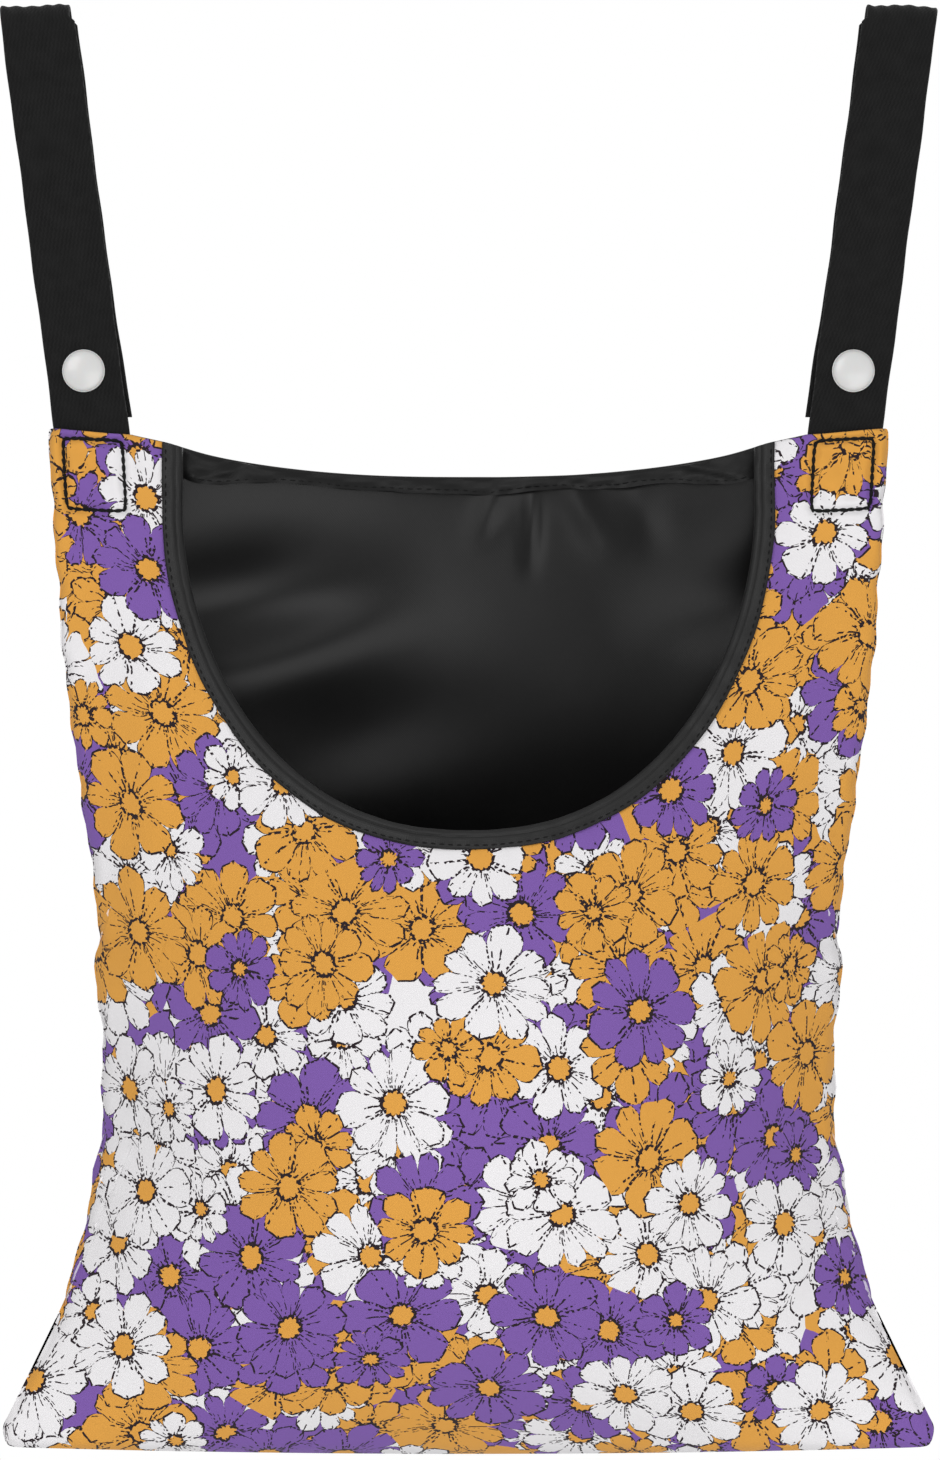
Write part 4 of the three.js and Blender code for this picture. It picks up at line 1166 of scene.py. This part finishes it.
def strap_line(step):
    """Side view of the whole strap as Y, Z points a step apart: up, over a half circle, and down."""
    bend = -SEAM_Y
    up = np.arange(TAIL_END, -BIGHT_RADIUS, step)
    turn = np.linspace(np.pi, 0, int(np.pi * bend / (step / 2)))
    fall = np.linspace(-BIGHT_RADIUS, FLAP_END, int((-BIGHT_RADIUS - FLAP_END) / step))
    lean = np.clip((fall - FLAP_FLAT) / (-BIGHT_RADIUS - FLAP_FLAT), 0, 1)
    behind = FLAP_Y + (bend - FLAP_Y) * lean ** FLAP_SOFT
    y = np.concatenate([np.full_like(up, SEAM_Y), bend * np.cos(turn), behind[1:]])
    z = np.concatenate([up, -BIGHT_RADIUS + bend * np.sin(turn), fall[1:]])
    return y, z


def strap_grid(side):
    """Both faces of a whole strap and its flat places: a band across the line, sheared as it leans."""
    y, z = strap_line(STRAP_STEP)
    line = np.stack([y, z], axis=-1)
    length = run_length(line, 0)[:, None]
    tangent = np.gradient(line, axis=0)
    tangent = tangent / np.linalg.norm(tangent, axis=-1, keepdims=True)
    behind = ease(1 - (length[-1] - length) / STRAY_RUN)
    across = (2 * crowded(EDGE_STEPS, EDGE_CROWDING) - 1)[None, :] * (WEB_RUN / 2 - EDGE_TRIM)
    waver = sine(length, height=0.12, run=9, phase=side) + sine(length, height=0.08, run=3.7)
    from_top = np.abs(length - length[np.argmax(z)])
    crown = bell(from_top, CROWN_REACH)
    towards_middle = -side * across / (WEB_RUN / 2)
    notch = NOTCH_DEPTH * (1 - ease((from_top - NOTCH_START) / NOTCH_RUN))
    notch = notch * ease(NOTCH_SIDE * towards_middle)
    x = side * (STRAP_FOOT + STRAP_LEAN * (z[:, None] - BAG_TOP) - FLAP_STRAY * behind)
    x = x + across * (1 - notch) + np.sign(across) * waver * ease(np.abs(across) / WAVER_FROM - 1)
    rise = CROWN_RISE * (1 + CROWN_TILT * towards_middle)
    z = z[:, None] + crown * (rise + sine(across, height=CROWN_WAVE, run=3.1, phase=side))
    from_edge = WEB_RUN / 2 - EDGE_TRIM - np.abs(across)
    from_snap = np.hypot(x - side * SNAP_X, z - SNAP_Z)
    woven = WEB_MIDDLE + SELVEDGE * bell(from_edge - SELVEDGE_PLACE, SELVEDGE_REACH)
    half = WEB_THICKNESS / 2 * woven * (1 - SNAP_PRESS * bell(from_snap, SNAP_REACH))
    half = half * np.maximum(rounded(from_edge, SELVEDGE_REACH), WEB_EDGE)
    tilt = sine(length, height=0.10, run=6.3, phase=across / 5)
    tilt = tilt + crown * sine(across, height=CROWN_CRINKLE, run=0.8, phase=length / 1.7)
    sides = []
    for lift in (half + tilt, tilt - half):
        lifted = y[:, None] - lift * tangent[:, 1:], z + lift * tangent[:, :1]
        sides.append(np.stack([x, *lifted], axis=-1))
    return sides[0], sides[1], np.stack([across + 0 * length, length + 0 * across], axis=-1)


y, z = strap_line(STRAP_STEP)
first, last = np.flatnonzero(z >= -BIGHT_RADIUS)[[0, -1]]
parts = {"lower": slice(0, first + 1), "crown": slice(first, last + 1), "flap": slice(last, None)}
straps = {}
for name, side in SIDES.items():
    grids = strap_grid(side)
    for part, rows in parts.items():
        mesh = sheet_mesh(*(grid[rows] for grid in grids))
        straps[name, part] = new_piece(f"{name}_strap_{part}", *mesh, twill_webbing)

# %% [markdown]
# ## Press snaps
# A snap has four parts: a domed cap whose post goes through the strap, the socket that is pressed on
# behind it, and on the flap a stud with a cap of its own. All are round, so each is a profile turned
# about the snap's axis.

# %% Snaps
LATHE_STEPS, ARC_STEPS, DOME_STEPS = 72, 7, 22
CAP_RADIUS, CAP_HEIGHT, CAP_RIM, CAP_ROUND = 7.0, 2.6, 0.75, 0.4
DOME_INSET, DOME_SIDE, DOME_TOP = 0.35, 0.92, 0.9   # the last two are powers: a dome fuller than a ball
POST_RADIUS, POST_LENGTH = 1.7, 2.8
FIT, CAP_SINK, SNAP_SINK = 0.3, 0.05, 0.1
LEG_FRONT = SEAM_Y - WEB_THICKNESS / 2
LEG_REAR = SEAM_Y + WEB_THICKNESS / 2
FLAP_FRONT, FLAP_REAR = FLAP_Y - WEB_THICKNESS / 2, FLAP_Y + WEB_THICKNESS / 2
SOCKET_RADIUS, SOCKET_ROUND, SOCKET_HEIGHT = 5.25, 0.5, 2.6
SOCKET_FRONT, SOCKET_REAR = LEG_REAR + SNAP_SINK, LEG_REAR + FIT + SOCKET_HEIGHT
BORE_RADIUS, BORE_ROUND, HOLE_RADIUS = 3.2, 0.4, 2.0
CATCH_RADIUS, CATCH_HEIGHT, FLOOR_HEIGHT = 3.35, 1.6, 1.1
SOCKET_FLOOR = 1.0
STUD_FRONT, STUD_REAR = LEG_REAR + FIT + SOCKET_FLOOR + FIT, FLAP_FRONT - SNAP_SINK
STUD_RADIUS, STUD_ROUND, NECK_RADIUS, NECK_HEIGHT = 2.0, 0.7, 2.5, 1.1
FLANGE_RADIUS, FLANGE_HEIGHT, FLANGE_ROUND, FLANGE_BACK = 5.0, 1.2, 0.4, 0.2


def arc(centre_r, centre_y, radius, start, end):
    """Points of a round edge in a profile, from one angle to another in degrees."""
    turn = np.radians(np.linspace(start, end, ARC_STEPS))
    return np.stack([centre_r + radius * np.cos(turn), centre_y + radius * np.sin(turn)], axis=-1)


def lathe(name, profile, x):
    """Turns a profile of radius and Y about the snap's axis; points on the axis are welded to one."""
    profile = np.concatenate(profile)
    turn = np.linspace(0, 2 * np.pi, LATHE_STEPS, endpoint=False)
    radius, y = profile[:, :1], profile[:, 1:]
    across, up = radius * np.cos(turn), radius * np.sin(turn)
    points = np.stack([x + across, y + 0 * turn, SNAP_Z + up], axis=-1)
    faces = loop_faces(len(profile), LATHE_STEPS)
    places = np.stack([radius + 0 * turn, turn + 0 * radius], axis=-1)
    return new_piece(name, points.reshape(-1, 3), faces, places.reshape(-1, 2), acetal_resin)


def cap_profile(seat, way):
    """A dome over a rolled rim, then a flat underside and a post. A sign says which way it faces."""
    turn = np.linspace(0, np.pi / 2, DOME_STEPS)
    dome_r = (CAP_RADIUS - DOME_INSET) * np.sin(turn) ** DOME_SIDE
    dome_y = CAP_RIM + (CAP_HEIGHT - CAP_RIM) * np.cos(turn) ** DOME_TOP
    rim = arc(CAP_RADIUS - CAP_ROUND, CAP_ROUND, CAP_ROUND, 60, -90)
    post = [(POST_RADIUS, 0), (POST_RADIUS, -POST_LENGTH), (0, -POST_LENGTH)]
    profile = np.concatenate([np.stack([dome_r, dome_y], axis=-1), rim, post])
    return [np.stack([profile[:, 0], seat + way * profile[:, 1]], axis=-1)]


bore_floor = SOCKET_FRONT + FLOOR_HEIGHT
socket = [
    arc(SOCKET_RADIUS - SOCKET_ROUND, SOCKET_FRONT + SOCKET_ROUND, SOCKET_ROUND, -90, 0),
    arc(SOCKET_RADIUS - SOCKET_ROUND, SOCKET_REAR - SOCKET_ROUND, SOCKET_ROUND, 0, 90),
    arc(BORE_RADIUS + BORE_ROUND, SOCKET_REAR - BORE_ROUND, BORE_ROUND, 90, 180),
    [(CATCH_RADIUS, SOCKET_FRONT + CATCH_HEIGHT), (BORE_RADIUS, bore_floor), (HOLE_RADIUS, bore_floor)],
    [(HOLE_RADIUS, SOCKET_FRONT), (SOCKET_RADIUS - SOCKET_ROUND, SOCKET_FRONT)],
]
flange = STUD_REAR - FLANGE_HEIGHT
stud = [
    [(0, STUD_FRONT)],
    arc(STUD_RADIUS, STUD_FRONT + STUD_ROUND, STUD_ROUND, -90, 0),
    [(NECK_RADIUS, STUD_FRONT + NECK_HEIGHT), (NECK_RADIUS, flange)],
    arc(FLANGE_RADIUS - FLANGE_ROUND, flange + FLANGE_ROUND, FLANGE_ROUND, -90, 0),
    arc(FLANGE_RADIUS - FLANGE_BACK, STUD_REAR - FLANGE_BACK, FLANGE_BACK, 0, 90),
    [(0, STUD_REAR)],
]
snaps = {}
for name, side in SIDES.items():
    x = side * SNAP_X
    snaps[name, "cap"] = lathe(f"{name}_cap", cap_profile(LEG_FRONT - CAP_SINK, -1), x)
    snaps[name, "socket"] = lathe(f"{name}_socket", socket, x)
    snaps[name, "stud"] = lathe(f"{name}_stud", stud, x)
    snaps[name, "back"] = lathe(f"{name}_back_cap", cap_profile(FLAP_REAR + CAP_SINK, 1), x)

# %% [markdown]
# ## What moves with what
# The panels, the tape, the seams and the stitches ride on the bag. Each flap rides on its own body with
# its stud and back cap, and each cap and socket on its strap. The strap's lower piece and its crown are
# left where they are made, their place baked into their points.

# %% Bodies, and the imported parts that are hidden
for piece, slot, nodes in (
        (front_cloth, "printed_cloth", ["front_panel"]),
        (back_cloth, "black_cloth", ["back_panel", "back_hem"]),
        (scoop_tape, "binding_tape", ["scoop_binding"]),
        (tape_stitches, "black_thread", ["binding_stitch"]),
        (hem_stitches, "black_thread", ["hem_stitch"]),
        (box_stitches["left"], "black_thread", ["left_box_stitch"]),
        (box_stitches["right"], "black_thread", ["right_box_stitch"]),
        *((piece, "black_cloth", [node]) for node, piece in seams.items())):
    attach(piece, "bag")
    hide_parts(*nodes)

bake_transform(straps["left", "lower"])
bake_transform(straps["right", "lower"])
for name in SIDES:
    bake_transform(straps[name, "crown"])
    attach(straps[name, "flap"], f"{name}_flap")
    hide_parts(f"{name}_strap_tail", f"{name}_strap_leg")
    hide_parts(f"{name}_strap_flap")
    for part in ("cap", "socket", "stud", "back"):
        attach(snaps[name, part], f"{name}_strap" if part in ("cap", "socket") else f"{name}_flap")
        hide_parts(f"{name}_snap_{part}")

# %% [markdown]
# ## Floor and world
# The bag hangs in plain soft light over a pale floor. The world is white to the camera and dimmer as a
# lamp, so that the background stays white without lighting the bag too much. The floor is lifted for
# the camera in the same way.

# %% Floor and world
FLOOR_Z, FLOOR_REACH, FLOOR_LIFT = -1.7, 8.0, 0.27


def looked_at(add):
    """1 where the camera, a mirror or clear glass looks, 0 where light only bounces."""
    ray = add("ShaderNodeLightPath", {})
    seen = ray.outputs["Is Camera Ray"]
    for other in ("Is Glossy Ray", "Is Transmission Ray"):
        seen = maths(add, "MAXIMUM", seen, ray.outputs[other])
    return seen


stage_floor = bpy.data.meshes.new("stage_floor")
corners = [(x * FLOOR_REACH, y * FLOOR_REACH, FLOOR_Z) for x, y in ((-1, -1), (1, -1), (1, 1), (-1, 1))]
stage_floor.from_pydata(corners, [], [(0, 1, 2, 3)])
pale_paint, shader, add = new_material("pale_floor_paint", Roughness=0.9)
place = add("ShaderNodeTexCoord", {}).outputs["Object"]
mottled(add, shader, place, "#E8E8E8", "#ECECEC", 300 * MM)
shader.inputs["Emission Color"].default_value = (1, 1, 1, 1)
lift = maths(add, "MULTIPLY", looked_at(add), FLOOR_LIFT)
link(shader, "Emission Strength", lift)
stage_floor.materials.append(pale_paint)
floor = bpy.data.objects.new("stage_floor", stage_floor)
bpy.context.scene.collection.objects.link(floor)
floor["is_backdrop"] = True

WORLD_LIGHT = 0.46
world = bpy.data.worlds.new("studio")
world.use_nodes = True
add = partial(add_node, world.node_tree)
background = world.node_tree.nodes["Background"]
strength = maths(add, "MULTIPLY_ADD", looked_at(add), 1 - WORLD_LIGHT, WORLD_LIGHT)
background.inputs["Color"].default_value = (1, 1, 1, 1)
world.node_tree.links.new(strength.outputs[0], background.inputs["Strength"])
bpy.context.scene.world = world
print("floor at", FLOOR_Z, "m, world at", WORLD_LIGHT)

# %% [markdown]
# ## Lamps and camera
# One big soft lamp stands at the upper left, as a window would, another at the lower right, so that the
# belly's underside isn't lost, and a weaker one behind shows the folds of the back. The camera stands
# 2 m away with a long lens.

# %% Lamps and camera
BAG_MIDDLE = (0, 0, -0.26)


def aim(thing, target):
    """Turns a lamp or camera so that its own -Z looks at a point."""
    from_target = thing.location - Vector(target)
    thing.rotation_euler = from_target.to_track_quat("Z", "Y").to_euler()


def soft_lamp(name, place, size, power):
    """A square area lamp that faces the middle of the bag and isn't seen itself: metres and watts."""
    lamp = bpy.data.lights.new(name, "AREA")
    lamp.size = size
    lamp.energy = power
    thing = bpy.data.objects.new(name, lamp)
    thing.location = place
    thing.visible_camera = False
    bpy.context.scene.collection.objects.link(thing)
    aim(thing, BAG_MIDDLE)


soft_lamp("key_lamp", place=(-1.0, -1.8, 0.6), size=1.2, power=14.5)
soft_lamp("low_lamp", place=(0.6, -1.8, -0.85), size=1.5, power=15.8)
soft_lamp("back_lamp", place=(1.0, 1.9, 0.5), size=1.2, power=11)

PHOTO_HEIGHT, PIXELS_PER_MM = 1460, 3.05
MIDDLE_X, MIDDLE_Z = 0.5, -235.7
CAMERA_DISTANCE = 2000.0
SENSOR = 36.0
camera = bpy.data.cameras.new("photo_camera")
camera.sensor_width = SENSOR
camera.lens = SENSOR * CAMERA_DISTANCE / (PHOTO_HEIGHT / PIXELS_PER_MM)
viewer = bpy.data.objects.new("photo_camera", camera)
viewer.location = (MIDDLE_X * MM, (SEAM_Y - CAMERA_DISTANCE) * MM, MIDDLE_Z * MM)
bpy.context.scene.collection.objects.link(viewer)
aim(viewer, (MIDDLE_X * MM, SEAM_Y * MM, MIDDLE_Z * MM))
bpy.context.scene.camera = viewer
bpy.context.scene.view_settings.view_transform = "Standard"
print("lens", round(camera.lens, 1), "mm")

# %% [markdown]
# ## Sizes
# The dressed bag has to keep the size of the imported model. Both boxes are written down side by side.

# %% Print both boxes
size_rows = {"cad": cad_box, "visual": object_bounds()}
size_rows = {name: [[float(v) for v in corner] for corner in box] for name, box in size_rows.items()}
print("sizes:", size_rows)
